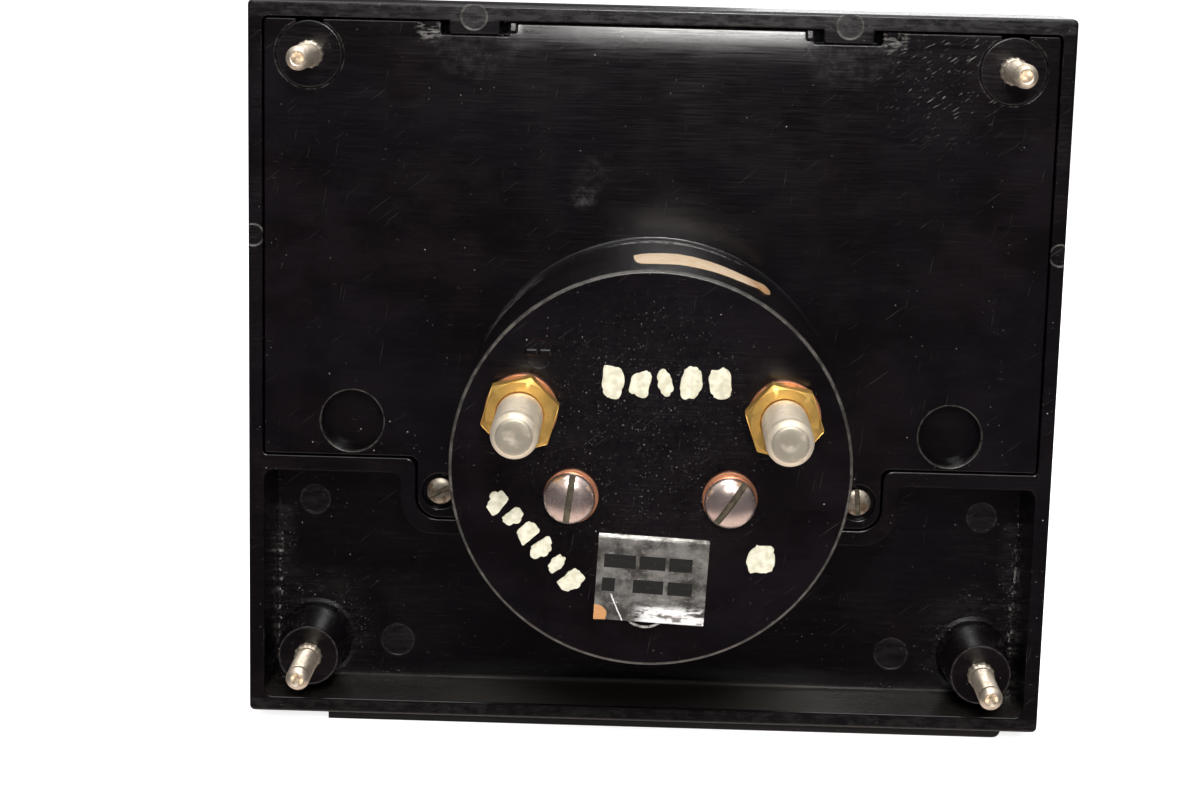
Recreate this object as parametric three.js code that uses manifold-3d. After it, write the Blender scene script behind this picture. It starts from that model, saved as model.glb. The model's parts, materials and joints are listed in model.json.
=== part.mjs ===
// Rectangular analogue panel meter with a round barrel, as an assembly of separate pieces.
// Units are millimetres. The origin is the barrel's axis at the panel plane.
// +X is to the right and +Z is up as seen from the dial side, and +Y points to the back.

import * as THREE from "three";
import { mergeVertices } from "three/addons/utils/BufferGeometryUtils.js";
import Module from "manifold-3d";

const wasm = await Module();
wasm.setup();

// ---------------------------------------------------------------- driving dimensions

const GAP = 0.3; // clearance between pieces that touch

// Front cover: 4 3/4 x 4 1/4 inch, its rear rim lies on the panel plane.
const COVER = { width: 120.65, height: 107.95, centreZ: 7.5, frontY: -15.3, corner: 0.8 };
const COVER_TOP = COVER.centreZ + COVER.height / 2;
const COVER_BOTTOM = COVER.centreZ - COVER.height / 2;
const FACE_THICK = 2.6;
const RECESS = { floorY: -10.2, rim: 2.3, topZ: -7 };
const MASK = { topZ: 9.3, edge: 3.6, faceY: RECESS.floorY - FACE_THICK };
const WINDOW = { halfWidth: 52, bottomZ: 13.5, topZ: 54, topCorner: 14, bottomCorner: 3 };
const LEDGE = { minX: -55, maxX: 48.4, drop: 1.5, frontY: -5, rearY: -1.6 };
const TAB = { minX: 23.5, maxX: 30.9, bottomZ: 57.2, thick: 3 };

// Base: upper plate with two ears, and the barrel for a 2.20 inch panel hole.
const PLATE = { halfWidth: 57.9, topZ: 58.85, bottomZ: -5.9, thick: 4.4 };
const EAR = { halfWidth: 34.85, bottomZ: -15.2, corner: 3.2 };
const BARREL = { radius: 27.94, length: 31.8, wall: 2.6, face: 3, bevel: 0.5 };
const CASE_WALL = 2.35; // wall of the cover round the base
const NOTCH = { minX: 21.1, maxX: 33.6, bottomZ: 57 };
const BLIND = { x: 44.74, z: -0.66, radius: 4.65, depth: 3 };

// Mounting studs, #6-32, moulded into bosses of the cover.
const STUD = { x: 51.3, topZ: 53.77, bottomZ: -37.51, radius: 1.75, tipY: 12.35 };
const STUD_INSERT = { radius: 2, rootY: -8.2, collarY: 1.1 }; // knurled root, moulded in
const BOSS = { topRadius: 4.9, radius: 4.7, footRadius: 5.45 };

// Small screws through the ears.
const EAR_SCREW = {
  x: 31.4, z: -11.15, head: 2.05, seatY: 0.15, topY: 1.3, shank: 1.1, boss: 3, endY: -9,
  leftTurn: 4, rightTurn: -62,
};

// Terminals: 1/4-28 studs, 3/8 inch nuts, copper washers.
const TERMINAL = { x: 17.9, z: 8, radius: 3.175, tipY: 50, flange: 4.8, tail: 2.4 };
const WASHER = { radius: 5.2, thick: 0.9 };
const NUT = { flats: 9.525, thick: 3.1, leftTurn: 48.7, rightTurn: 14.4 };
const STACK_GAP = 0.1; // between the pieces stacked on the barrel's face

// Screws in the barrel's face, which also hold the movement.
const FACE_SCREW = {
  x: 11, z: -3.85, head: 3.55, headThick: 2.2, shank: 1.6, endY: 10, washer: 3.8, washerThick: 0.7,
  leftTurn: -34, rightTurn: -7,
};

// Label on the barrel's face.
const LABEL = { width: 15.3, height: 12.3, x: -0.56, z: -15.36, turn: 2.6, thick: 0.2 };

// Movement, centred on the barrel's axis.
const CORE = { radius: 6, frontY: 3.5, rearY: 16.5 };
const SHOE = { bore: 8.9, radius: 15.5, frontY: 3, rearY: 17, halfAngle: 50 };
const MAGNET = { bore: 15.8, radius: 23, opening: 50 };
const COIL = { inner: 6.7, outer: 8.1, width: 3, frontY: 1.2, rearY: 18.8, bar: 1.2 };
const PIVOT = { radius: 0.5, frontY: -0.9, rearY: 20.6, sides: 12 };
const REST_ANGLE = 45; // the pointer rests this far left of vertical
const POINTER = {
  hub: 2, hubFrontY: -0.2, hubRearY: 0.8, arm: 0.8, armThick: 0.5, stepIn: 8.7, tail: 6.9, cross: 5.6,
  planeY: -8.2, thick: 0.4, length: 41, taper: 8, waist: 0.55, tip: 0.15,
};
const WEIGHT = { z: -6.6, radius: 1.6, thick: 1 };
const BRIDGE = { frontY: -2.6, rearY: -1.4, postX: 12.2, postRadius: 2 };
const REAR_BRIDGE = { frontY: 19.9, rearY: 21.2, arm: 1.9, hub: 3.4, foot: 2.9, legZ: 8.4 };
const JEWEL = {
  radius: 1.5, head: 2.5, frontY: -1.2, headRearY: -5.1, headFrontY: -5.9, rearY: 20.8, rearEndY: 22.6,
};
const SPRING = { inner: 1.2, outer: 5, turns: 3, strip: 0.22, width: 0.5 };
const ADJUSTER = {
  z: -13, head: 4, headThick: 1.4, shank: 2.7, shankEndY: -8.9, pin: 0.6, offset: 1.6,
  clip: 3.9, clipFrontY: -9.9, clipRearY: -9.4,
};
const LEVER = { frontY: -4.9, rearY: -4.3, hub: 3.6, arm: 1.1, fork: 2.6, slot: 0.85, tabZ: 6.1 };
const PANE = { halfWidth: 54.8, topZ: 56.8, thick: 1.8 };
const SCALE = { frontY: -7.2, rearY: -6.6, bottomZ: -3, cutout: 11.5, screwX: 47, screwZ: 14 };
const SCALE_SCREW = { shank: 1, head: 1.9, crown: 1.6, endY: -3, boss: 2.6 };
const SHUNT = { frontY: 22.2, rearY: 23.4 };
const LEAD_RADIUS = 0.35;

const ROUND = 48; // sides of a large cylinder
const MEDIUM = 24; // sides of a boss, a washer or a nut's bore
const SMALL = 14; // sides of a small one
const ARC = 3; // half the steps of a rounded corner

// ---------------------------------------------------------------- colours

const material = (color, roughness, metalness) =>
  new THREE.MeshStandardMaterial({ color, roughness, metalness });

const PHENOLIC = material(0x17161a, 0.3, 0);
const NICKEL = material(0xb9b4ab, 0.35, 1);
const BRASS = material(0xc79a3c, 0.3, 1);
const COPPER = material(0xb06a4a, 0.35, 1);
const STEEL = material(0xa8a49c, 0.4, 1);
const IRON = material(0x6d6f72, 0.5, 1);
const ALNICO = material(0x55565a, 0.55, 1);
const FOIL = material(0xe6e3dd, 0.25, 1);
const WHITE = material(0xefece2, 0.6, 0);
const BLACK_PAINT = material(0x101010, 0.5, 0);
const MANGANIN = material(0x9a8f86, 0.4, 1);
const GLASS = material(0xdfe8ea, 0.05, 0);

// ---------------------------------------------------------------- solids

function solid(geometry) {
  const bare = geometry.clone();
  bare.deleteAttribute("normal");
  bare.deleteAttribute("uv");
  const merged = mergeVertices(bare, 1e-4);
  return new wasm.Manifold(
    new wasm.Mesh({
      numProp: 3,
      vertProperties: merged.attributes.position.array,
      triVerts: Uint32Array.from(merged.index.array),
    }),
  );
}

function geometryOf(body) {
  const mesh = body.getMesh();
  const geometry = new THREE.BufferGeometry();
  geometry.setAttribute("position", new THREE.BufferAttribute(mesh.vertProperties, 3));
  geometry.setIndex(new THREE.BufferAttribute(mesh.triVerts, 1));
  geometry.computeVertexNormals();
  return geometry;
}

const join = (...bodies) => bodies.reduce((all, body) => all.add(body));
const cut = (body, ...tools) => tools.reduce((rest, tool) => rest.subtract(tool), body);

// A flat outline in X and Z, thickened from frontY to rearY.
function slab(shape, frontY, rearY, curveSegments = ARC) {
  const options = { depth: rearY - frontY, bevelEnabled: false, curveSegments };
  return solid(
    new THREE.ExtrudeGeometry(shape, options).rotateX(Math.PI / 2).translate(0, rearY, 0),
  );
}

function block(minX, maxX, minY, maxY, minZ, maxZ) {
  const box = new THREE.BoxGeometry(maxX - minX, maxY - minY, maxZ - minZ);
  return solid(box.translate((minX + maxX) / 2, (minY + maxY) / 2, (minZ + maxZ) / 2));
}

// A round bar along Y; the two radii make a cone.
function rod(radius, minY, maxY, x = 0, z = 0, sides = SMALL, rearRadius = radius) {
  const cylinder = new THREE.CylinderGeometry(rearRadius, radius, maxY - minY, sides);
  return solid(cylinder.translate(x, (minY + maxY) / 2, z));
}

// A profile of [radius, y] points turned about Y, starting and ending on the axis.
function turned(profile, x, z, sides = SMALL) {
  const points = profile.map(([radius, y]) => new THREE.Vector2(radius, y));
  return solid(new THREE.LatheGeometry(points, sides).translate(x, 0, z));
}

// Turns a body about the Y axis through x, z; positive is clockwise seen from the dial side.
function swing(body, degrees, x = 0, z = 0) {
  return body.translate([-x, 0, -z]).rotate([0, degrees, 0]).translate([x, 0, z]);
}

function outline(minX, maxX, minZ, maxZ, lowerCorner = 0, upperCorner = lowerCorner) {
  const shape = new THREE.Shape();
  shape.moveTo(minX + lowerCorner, minZ);
  shape.lineTo(maxX - lowerCorner, minZ);
  roundCorner(shape, maxX - lowerCorner, minZ + lowerCorner, lowerCorner, -90);
  shape.lineTo(maxX, maxZ - upperCorner);
  roundCorner(shape, maxX - upperCorner, maxZ - upperCorner, upperCorner, 0);
  shape.lineTo(minX + upperCorner, maxZ);
  roundCorner(shape, minX + upperCorner, maxZ - upperCorner, upperCorner, 90);
  shape.lineTo(minX, minZ + lowerCorner);
  roundCorner(shape, minX + lowerCorner, minZ + lowerCorner, lowerCorner, 180);
  return shape;
}

function roundCorner(shape, x, z, radius, startDegrees) {
  if (radius === 0) return;
  const start = THREE.MathUtils.degToRad(startDegrees);
  shape.absarc(x, z, radius, start, start + Math.PI / 2, false);
}

function ringSector(inner, outer, startDegrees, endDegrees) {
  const start = THREE.MathUtils.degToRad(startDegrees);
  const end = THREE.MathUtils.degToRad(endDegrees);
  const shape = new THREE.Shape();
  shape.absarc(0, 0, outer, start, end, false);
  shape.absarc(0, 0, inner, end, start, true);
  return shape;
}

function hexagon(flats) {
  const radius = flats / Math.sqrt(3);
  const shape = new THREE.Shape();
  for (let corner = 0; corner < 6; corner += 1) {
    const angle = (corner * Math.PI) / 3;
    const place = [radius * Math.cos(angle), radius * Math.sin(angle)];
    if (corner === 0) shape.moveTo(...place);
    else shape.lineTo(...place);
  }
  return shape;
}

const bothSides = (make) => [-1, 1].map(make);

const group = new THREE.Group();

function addPiece(name, body, finish) {
  const mesh = new THREE.Mesh(geometryOf(body), finish);
  mesh.name = name;
  group.add(mesh);
}

// ---------------------------------------------------------------- case

// Plan of the base, grown outwards by a margin: plate, ears and barrel together.
function casePlan(grow, minY, maxY) {
  const plate = outline(
    -PLATE.halfWidth - grow, PLATE.halfWidth + grow, PLATE.bottomZ - grow, PLATE.topZ + grow,
  );
  const ears = outline(
    -EAR.halfWidth - grow, EAR.halfWidth + grow, EAR.bottomZ - grow, 0, EAR.corner + grow, 0,
  );
  return join(
    slab(plate, minY, maxY),
    slab(ears, minY, maxY),
    rod(BARREL.radius + grow, minY, maxY, 0, 0, ROUND),
  );
}

function upperBosses(radius, minY, maxY) {
  return join(...bothSides((side) => rod(radius, minY, maxY, side * STUD.x, STUD.topZ, MEDIUM)));
}

function lowerBosses() {
  const { floorY } = RECESS;
  const boss = (side) => rod(
    BOSS.footRadius, floorY - 1, 0, side * STUD.x, STUD.bottomZ, MEDIUM, BOSS.radius,
  );
  return join(...bothSides(boss));
}

function lowerRecess() {
  const halfWidth = COVER.width / 2 - RECESS.rim;
  const open = outline(-halfWidth, halfWidth, COVER_BOTTOM + RECESS.rim, RECESS.topZ, 1, 0);
  const walls = casePlan(GAP + CASE_WALL, RECESS.floorY - 1, 1);
  return cut(slab(open, RECESS.floorY, 1), walls, lowerBosses());
}

function interior() {
  const halfWidth = PLATE.halfWidth + GAP;
  const behindWindow = block(
    -halfWidth, halfWidth, COVER.frontY + FACE_THICK, RECESS.floorY + 1,
    MASK.topZ + GAP, PLATE.topZ + GAP,
  );
  return join(casePlan(GAP, RECESS.floorY, 1), behindWindow);
}

function coverTabs() {
  return bothSides((side) => {
    const near = side * TAB.minX;
    const far = side * TAB.maxX;
    const topZ = PLATE.topZ + 1;
    return block(Math.min(near, far), Math.max(near, far), -TAB.thick, 0, TAB.bottomZ, topZ);
  });
}

function earBosses() {
  const { x, z, boss } = EAR_SCREW;
  return bothSides((side) => rod(boss, RECESS.floorY - 1, -PLATE.thick - GAP, side * x, z));
}

function studHoles() {
  const { radius, rootY } = STUD_INSERT;
  const hole = (side, z) => rod(radius + GAP, rootY - GAP, 1, side * STUD.x, z);
  return bothSides((side) => join(hole(side, STUD.topZ), hole(side, STUD.bottomZ)));
}

function frontCover() {
  const halfWidth = COVER.width / 2;
  const envelope = outline(-halfWidth, halfWidth, COVER_BOTTOM, COVER_TOP, COVER.corner);
  const opening = outline(
    -WINDOW.halfWidth, WINDOW.halfWidth, WINDOW.bottomZ, WINDOW.topZ,
    WINDOW.bottomCorner, WINDOW.topCorner,
  );
  const mask = outline(
    -halfWidth + MASK.edge, halfWidth - MASK.edge, COVER_BOTTOM + MASK.edge, MASK.topZ, 1.5,
  );
  const shell = cut(
    slab(envelope, COVER.frontY, 0),
    interior(),
    lowerRecess(),
    slab(opening, COVER.frontY - 1, RECESS.floorY),
    slab(mask, COVER.frontY - 1, MASK.faceY),
  );
  const inside = COVER.frontY + FACE_THICK - 1;
  const ledge = block(
    LEDGE.minX, LEDGE.maxX, LEDGE.frontY, LEDGE.rearY, COVER_BOTTOM - LEDGE.drop, COVER_BOTTOM + 1,
  );
  const whole = join(
    shell, upperBosses(BOSS.topRadius, inside, 0), ledge, ...coverTabs(), ...earBosses(),
  );
  const { x, z, shank } = EAR_SCREW;
  const screwHoles = bothSides((side) => rod(shank + GAP, EAR_SCREW.endY - 0.5, 0, side * x, z));
  const adjusterHole = rod(ADJUSTER.shank + GAP, COVER.frontY, 0, 0, ADJUSTER.z);
  addPiece("front_cover", cut(whole, ...studHoles(), ...screwHoles, adjusterHole), PHENOLIC);
}

function barrel() {
  const { radius, length, bevel } = BARREL;
  const edge = rod(radius, length - bevel, length, 0, 0, ROUND, radius - bevel);
  return join(rod(radius, -1, length - bevel, 0, 0, ROUND), edge);
}

function barrelHollow() {
  const { radius, wall, length, face } = BARREL;
  return rod(radius - wall, -PLATE.thick - 1, length - face, 0, 0, ROUND);
}

function plateNotch(side) {
  const ends = [side * NOTCH.minX, side * NOTCH.maxX];
  return block(
    Math.min(...ends), Math.max(...ends), -PLATE.thick - 1, 1, NOTCH.bottomZ, PLATE.topZ + 1,
  );
}

function plateHoles(side) {
  const frontY = -PLATE.thick - 1;
  return join(
    rod(BLIND.radius, -BLIND.depth, 1, side * BLIND.x, BLIND.z, MEDIUM),
    rod(EAR_SCREW.shank + GAP, frontY, 1, side * EAR_SCREW.x, EAR_SCREW.z),
    rod(SCALE_SCREW.shank + GAP, SCALE.rearY, 2 - PLATE.thick, side * SCALE.screwX, SCALE.screwZ),
  );
}

function barrelFaceHoles(side) {
  const insideY = BARREL.length - BARREL.face - 1;
  const outsideY = BARREL.length + 1;
  return join(
    rod(TERMINAL.radius + GAP, insideY, outsideY, side * TERMINAL.x, TERMINAL.z),
    rod(FACE_SCREW.shank + GAP, insideY, outsideY, side * FACE_SCREW.x, FACE_SCREW.z),
  );
}

function scaleStandoff(side) {
  return rod(
    SCALE_SCREW.boss, SCALE.rearY + GAP, 1 - PLATE.thick, side * SCALE.screwX, SCALE.screwZ,
  );
}

function base() {
  const whole = join(casePlan(0, -PLATE.thick, 0), barrel(), ...bothSides(scaleStandoff));
  const body = cut(
    whole,
    barrelHollow(),
    upperBosses(BOSS.topRadius + GAP, -PLATE.thick - 1, 1),
    ...bothSides(plateNotch),
    ...bothSides(plateHoles),
    ...bothSides(barrelFaceHoles),
  );
  addPiece("base", body, PHENOLIC);
}

// ---------------------------------------------------------------- fasteners and terminals

function mountingStud(name, x, z) {
  const { radius, tipY } = STUD;
  const { radius: insert, rootY, collarY } = STUD_INSERT;
  const profile = [
    [0, rootY], [insert, rootY], [insert, collarY], [radius, collarY + 0.2],
    [radius, tipY - 0.8], [radius - 0.4, tipY - 0.2], [1, tipY], [0.6, tipY - 0.4], [0, tipY - 0.5],
  ];
  addPiece(name, turned(profile, x, z), NICKEL);
}

function mountingStuds() {
  const { x, topZ, bottomZ } = STUD;
  mountingStud("mounting_stud_top_left", -x, topZ);
  mountingStud("mounting_stud_top_right", x, topZ);
  mountingStud("mounting_stud_bottom_left", -x, bottomZ);
  mountingStud("mounting_stud_bottom_right", x, bottomZ);
}

// A screwdriver slot across a head, turned about the screw's own axis.
function slot(width, length, minY, maxY, degrees, x, z) {
  const bar = block(x - width / 2, x + width / 2, minY, maxY, z - length / 2, z + length / 2);
  return swing(bar, degrees, x, z);
}

function earScrew(name, side, slotTurn) {
  const { x, z, head, seatY, topY, shank, endY } = EAR_SCREW;
  const profile = [
    [0, endY], [shank, endY], [shank, seatY], [head, seatY], [head, topY - 0.4],
    [head - 0.3, topY - 0.1], [0, topY],
  ];
  const driver = slot(0.6, 3 * head, topY - 0.55, topY + 1, slotTurn, side * x, z);
  addPiece(name, cut(turned(profile, side * x, z), driver), STEEL);
}

function faceScrew(name, side, slotTurn) {
  const { x, z, head, headThick, shank, endY } = FACE_SCREW;
  const seatY = BARREL.length + FACE_SCREW.washerThick + GAP;
  const topY = seatY + headThick;
  const profile = [
    [0, endY], [shank, endY], [shank, seatY], [head, seatY], [head, seatY + 0.7],
    [head - 0.35, seatY + 1.4], [head - 1.2, topY - 0.25], [0, topY],
  ];
  const driver = slot(0.9, 3 * head, seatY + 1, topY + 1, slotTurn, side * x, z);
  addPiece(name, cut(turned(profile, side * x, z), driver), STEEL);
}

function washer(name, side, place, radius, hole, thick) {
  const frontY = BARREL.length + STACK_GAP;
  const ring = rod(radius, frontY, frontY + thick, side * place.x, place.z, MEDIUM);
  const bore = rod(hole, frontY - 1, frontY + 2, side * place.x, place.z);
  addPiece(name, cut(ring, bore), COPPER);
}

function terminalStud(name, side) {
  const { x, z, radius, tipY, flange, tail } = TERMINAL;
  const insideY = BARREL.length - BARREL.face - 0.2;
  const profile = [
    [0, 18.4], [tail, 18.4], [tail, insideY - 2.4], [flange, insideY - 2.4], [flange, insideY],
    [radius, insideY], [radius, tipY - 0.6], [radius - 0.6, tipY], [0, tipY],
  ];
  addPiece(name, turned(profile, side * x, z, MEDIUM), NICKEL);
}

function nut(name, x, z, bore, flats, minY, maxY, turn) {
  const body = slab(hexagon(flats), minY, maxY).rotate([0, turn, 0]).translate([x, 0, z]);
  const corners = rod(flats / Math.sqrt(3) - 0.1, minY, maxY, x, z, MEDIUM);
  addPiece(name, cut(body.intersect(corners), rod(bore, minY - 1, maxY + 1, x, z)), BRASS);
}

function terminal(name, side, nutTurn) {
  const { x, z, radius, tail } = TERMINAL;
  const outerY = BARREL.length + WASHER.thick + 2 * STACK_GAP;
  const shuntNut = { flats: 8, minY: 19.6, maxY: SHUNT.frontY - 0.2 };
  terminalStud(`terminal_stud_${name}`, side);
  washer(`terminal_washer_${name}`, side, TERMINAL, WASHER.radius, radius + GAP, WASHER.thick);
  nut(
    `terminal_nut_${name}`, side * x, z, radius + GAP, NUT.flats, outerY, outerY + NUT.thick, nutTurn,
  );
  nut(
    `shunt_nut_${name}`, side * x, z, tail + GAP, shuntNut.flats, shuntNut.minY, shuntNut.maxY, 0,
  );
}

function faceScrews() {
  for (const [name, side] of Object.entries({ left: -1, right: 1 })) {
    const { shank, washer: radius, washerThick } = FACE_SCREW;
    washer(`barrel_screw_washer_${name}`, side, FACE_SCREW, radius, shank + GAP, washerThick);
    faceScrew(`barrel_screw_${name}`, side, FACE_SCREW[`${name}Turn`]);
    earScrew(`ear_screw_${name}`, side, EAR_SCREW[`${name}Turn`]);
  }
}

function foilLabel() {
  const { width, height, x, z, turn, thick } = LABEL;
  const frontY = BARREL.length + STACK_GAP;
  const sheet = block(
    x - width / 2, x + width / 2, frontY, frontY + thick, z - height / 2, z + height / 2,
  );
  addPiece("foil_label", swing(sheet, -turn, x, z), FOIL);
}

// ---------------------------------------------------------------- dial side

// Plate that fits between the cover's upper bosses; used for the window and the scale.
function dialPlate(minZ, frontY, rearY) {
  const sheet = outline(-PANE.halfWidth, PANE.halfWidth, minZ, PANE.topZ);
  return cut(slab(sheet, frontY, rearY), upperBosses(BOSS.topRadius + GAP, frontY - 1, rearY + 1));
}

function windowPane() {
  const frontY = COVER.frontY + FACE_THICK + 0.1;
  addPiece("window", dialPlate(MASK.topZ + 2 * GAP, frontY, frontY + PANE.thick), GLASS);
}

function scalePlate() {
  const { frontY, rearY, bottomZ, cutout, screwX, screwZ } = SCALE;
  const hub = join(
    rod(cutout, frontY - 1, rearY + 1, 0, 0, MEDIUM),
    block(-cutout, cutout, frontY - 1, rearY + 1, bottomZ - 1, 0),
  );
  const hole = SCALE_SCREW.shank + GAP;
  const holes = bothSides((side) => rod(hole, frontY - 1, rearY + 1, side * screwX, screwZ));
  addPiece("scale_plate", cut(dialPlate(bottomZ, frontY, rearY), hub, ...holes), WHITE);
}

function scaleScrew(name, side) {
  const { shank, head, crown, endY } = SCALE_SCREW;
  const seatY = SCALE.frontY - 0.15;
  const profile = [
    [0, seatY - 0.85], [crown, seatY - 0.65], [head, seatY], [shank, seatY], [shank, endY], [0, endY],
  ];
  addPiece(name, turned(profile, side * SCALE.screwX, SCALE.screwZ), STEEL);
}

function zeroAdjuster() {
  const { z, head, headThick, shank, shankEndY, pin, offset, clip, clipFrontY, clipRearY } = ADJUSTER;
  const headY = MASK.faceY - 0.2;
  const body = join(
    rod(head, headY - headThick, headY, 0, z, MEDIUM),
    rod(shank, headY - 0.1, shankEndY, 0, z),
    rod(pin, shankEndY - 0.1, LEVER.rearY + 0.2, 0, z - offset, PIVOT.sides),
  );
  const driver = slot(1, 3 * head, headY - 2 * headThick, headY - 0.6, 90, 0, z);
  addPiece("zero_adjuster", cut(body, driver), BLACK_PAINT);
  const ring = rod(clip, clipFrontY, clipRearY, 0, z);
  addPiece("adjuster_clip", cut(ring, rod(shank + 0.1, clipFrontY - 1, clipRearY + 1, 0, z)), STEEL);
}

function zeroLever() {
  const { frontY, rearY, hub, arm, fork, slot: slotHalf, tabZ } = LEVER;
  const pinZ = ADJUSTER.z - ADJUSTER.offset;
  const tabHalf = 0.8;
  const tabThick = 0.6;
  const springY = -0.5;
  const body = join(
    rod(hub, frontY, rearY),
    block(-arm, arm, frontY, rearY, pinZ + 2, 0),
    block(-fork, fork, frontY, rearY, pinZ - 1.8, pinZ + 2.6),
    block(-tabHalf, tabHalf, frontY, rearY, 0, tabZ),
    block(-tabHalf, tabHalf, rearY - GAP, springY, tabZ - tabThick, tabZ),
  );
  const forkSlot = block(-slotHalf, slotHalf, frontY - 1, rearY + 1, pinZ - 3, pinZ + 1.4);
  const bore = rod(JEWEL.radius + 0.2, frontY - 1, rearY + 1);
  addPiece("zero_lever", cut(body, forkSlot, bore), BRASS);
}

// ---------------------------------------------------------------- movement

function magnetAndCore() {
  const { bore, radius, opening } = MAGNET;
  const sector = ringSector(bore, radius, opening - 270, 90 - opening);
  addPiece("magnet", slab(sector, SHOE.frontY, SHOE.rearY, 4 * ARC), ALNICO);
  addPiece("core", rod(CORE.radius, CORE.frontY, CORE.rearY, 0, 0, MEDIUM), IRON);
}

function poleShoe(name, side) {
  const { bore, radius, frontY, rearY, halfAngle } = SHOE;
  const middle = side > 0 ? 0 : 180;
  const sector = ringSector(bore, radius, middle - halfAngle, middle + halfAngle);
  const { x, z, shank, endY } = FACE_SCREW;
  const screwHole = rod(shank + GAP, endY - 1, rearY + 1, side * x, z);
  addPiece(name, cut(slab(sector, frontY, rearY, 2 * ARC), screwHole), IRON);
}

function rearBridge() {
  const { frontY, rearY, arm, hub, foot, legZ } = REAR_BRIDGE;
  const { x, z, shank } = FACE_SCREW;
  const feet = bothSides((side) => rod(foot, SHOE.rearY + GAP, rearY, side * x, z));
  const holes = bothSides((side) => rod(shank + GAP, SHOE.rearY - 1, rearY + 1, side * x, z));
  const lean = THREE.MathUtils.radToDeg(Math.atan2(-z, x));
  const arms = bothSides((side) =>
    swing(block(0, Math.hypot(x, z), frontY, rearY, -arm, arm), side > 0 ? lean : 180 - lean));
  const legs = bothSides((side) => {
    const ends = [side * (CORE.radius + GAP), side * legZ];
    return block(-arm, arm, CORE.frontY + 1.5, rearY, Math.min(...ends), Math.max(...ends));
  });
  const spine = block(-arm, arm, frontY, rearY, -legZ, legZ);
  const body = join(spine, rod(hub, frontY, rearY), ...arms, ...feet, ...legs);
  const bore = rod(JEWEL.radius + GAP, frontY - 1, rearY + 1);
  addPiece("rear_bridge", cut(body, bore, ...holes), BRASS);
}

function movementPost(name, side) {
  const { x, z, shank } = FACE_SCREW;
  const frontY = REAR_BRIDGE.rearY + 0.2;
  const rearY = BARREL.length - BARREL.face - 0.2;
  const post = rod(2 * shank, frontY, rearY, side * x, z);
  addPiece(name, cut(post, rod(shank + GAP, frontY - 1, rearY + 1, side * x, z)), BRASS);
}

function frontBridge() {
  const { frontY, rearY, postX, postRadius } = BRIDGE;
  const posts = bothSides((side) =>
    rod(postRadius, rearY - 0.5, SHOE.frontY - 0.2, side * postX, 0));
  const body = join(
    slab(outline(-postX - postRadius, postX + postRadius, -postRadius, postRadius), frontY, rearY),
    rod(1.5 * postRadius, frontY, rearY),
    ...posts,
  );
  addPiece("front_bridge", cut(body, rod(JEWEL.radius + GAP, frontY - 1, rearY + 1)), BRASS);
}

function jewels() {
  const { radius, head, frontY, headRearY, headFrontY, rearY, rearEndY } = JEWEL;
  const front = [
    [0, headFrontY], [head, headFrontY], [head, headRearY], [radius, headRearY], [radius, frontY],
    [0, frontY],
  ];
  addPiece("front_jewel", turned(front, 0, 0), BRASS);
  const rear = [[0, rearY], [radius, rearY], [radius, rearEndY], [0, rearEndY]];
  addPiece("rear_jewel", turned(rear, 0, 0), BRASS);
}

function movingCoil() {
  const { inner, outer, width, frontY, rearY, bar } = COIL;
  const loop = cut(
    block(-outer, outer, frontY, rearY, -width / 2, width / 2),
    block(-inner, inner, frontY + bar, rearY - bar, -width, width),
  );
  const pivots = join(
    rod(PIVOT.radius, PIVOT.frontY, frontY + 0.2, 0, 0, PIVOT.sides),
    rod(PIVOT.radius, rearY - 0.2, PIVOT.rearY, 0, 0, PIVOT.sides),
  );
  addPiece("moving_coil", join(swing(loop, -REST_ANGLE), pivots), COPPER);
}

function needle() {
  const { arm, stepIn, length, taper, waist, tip, planeY, thick } = POINTER;
  const edge = [[arm, stepIn], [waist, length - taper], [tip, length]];
  const points = [
    ...edge.map(([x, z]) => new THREE.Vector2(x, z)),
    ...edge.reverse().map(([x, z]) => new THREE.Vector2(-x, z)),
  ];
  return slab(new THREE.Shape(points), planeY, planeY + thick);
}

function pointer() {
  const { hub, hubFrontY, hubRearY, arm, armThick, stepIn, tail, cross, planeY } = POINTER;
  const armRearY = hubFrontY + armThick;
  const thin = 0.6;
  const body = join(
    rod(hub, hubFrontY, hubRearY),
    block(-arm, arm, hubFrontY, armRearY, 0, stepIn + thin),
    block(-arm, arm, planeY, armRearY, stepIn, stepIn + thin),
    needle(),
    block(-thin, thin, hubFrontY, armRearY, -tail, 0),
    block(-cross, cross, hubFrontY, armRearY, -thin, thin),
  );
  const bore = rod(PIVOT.radius + 0.1, hubFrontY - 1, hubRearY + 1, 0, 0, PIVOT.sides);
  addPiece("pointer", swing(cut(body, bore), -REST_ANGLE), BLACK_PAINT);
}

function balanceWeight() {
  const rearY = POINTER.hubFrontY - 0.05;
  const weight = rod(WEIGHT.radius, rearY - WEIGHT.thick, rearY, 0, WEIGHT.z);
  addPiece("balance_weight_tail", swing(weight, -REST_ANGLE), BRASS);
}

function spiral(name, frontY) {
  const { inner, outer, turns, strip, width } = SPRING;
  const steps = turns * PIVOT.sides;
  const edge = (offset) => Array.from({ length: steps + 1 }, (_, step) => {
    const angle = (step / steps) * turns * 2 * Math.PI;
    const radius = inner + ((outer - inner) * step) / steps + offset;
    return new THREE.Vector2(radius * Math.sin(angle), radius * Math.cos(angle));
  });
  const shape = new THREE.Shape([...edge(0), ...edge(strip).reverse()]);
  addPiece(name, slab(shape, frontY, frontY + width), BRASS);
}

// ---------------------------------------------------------------- electrical connections

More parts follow.
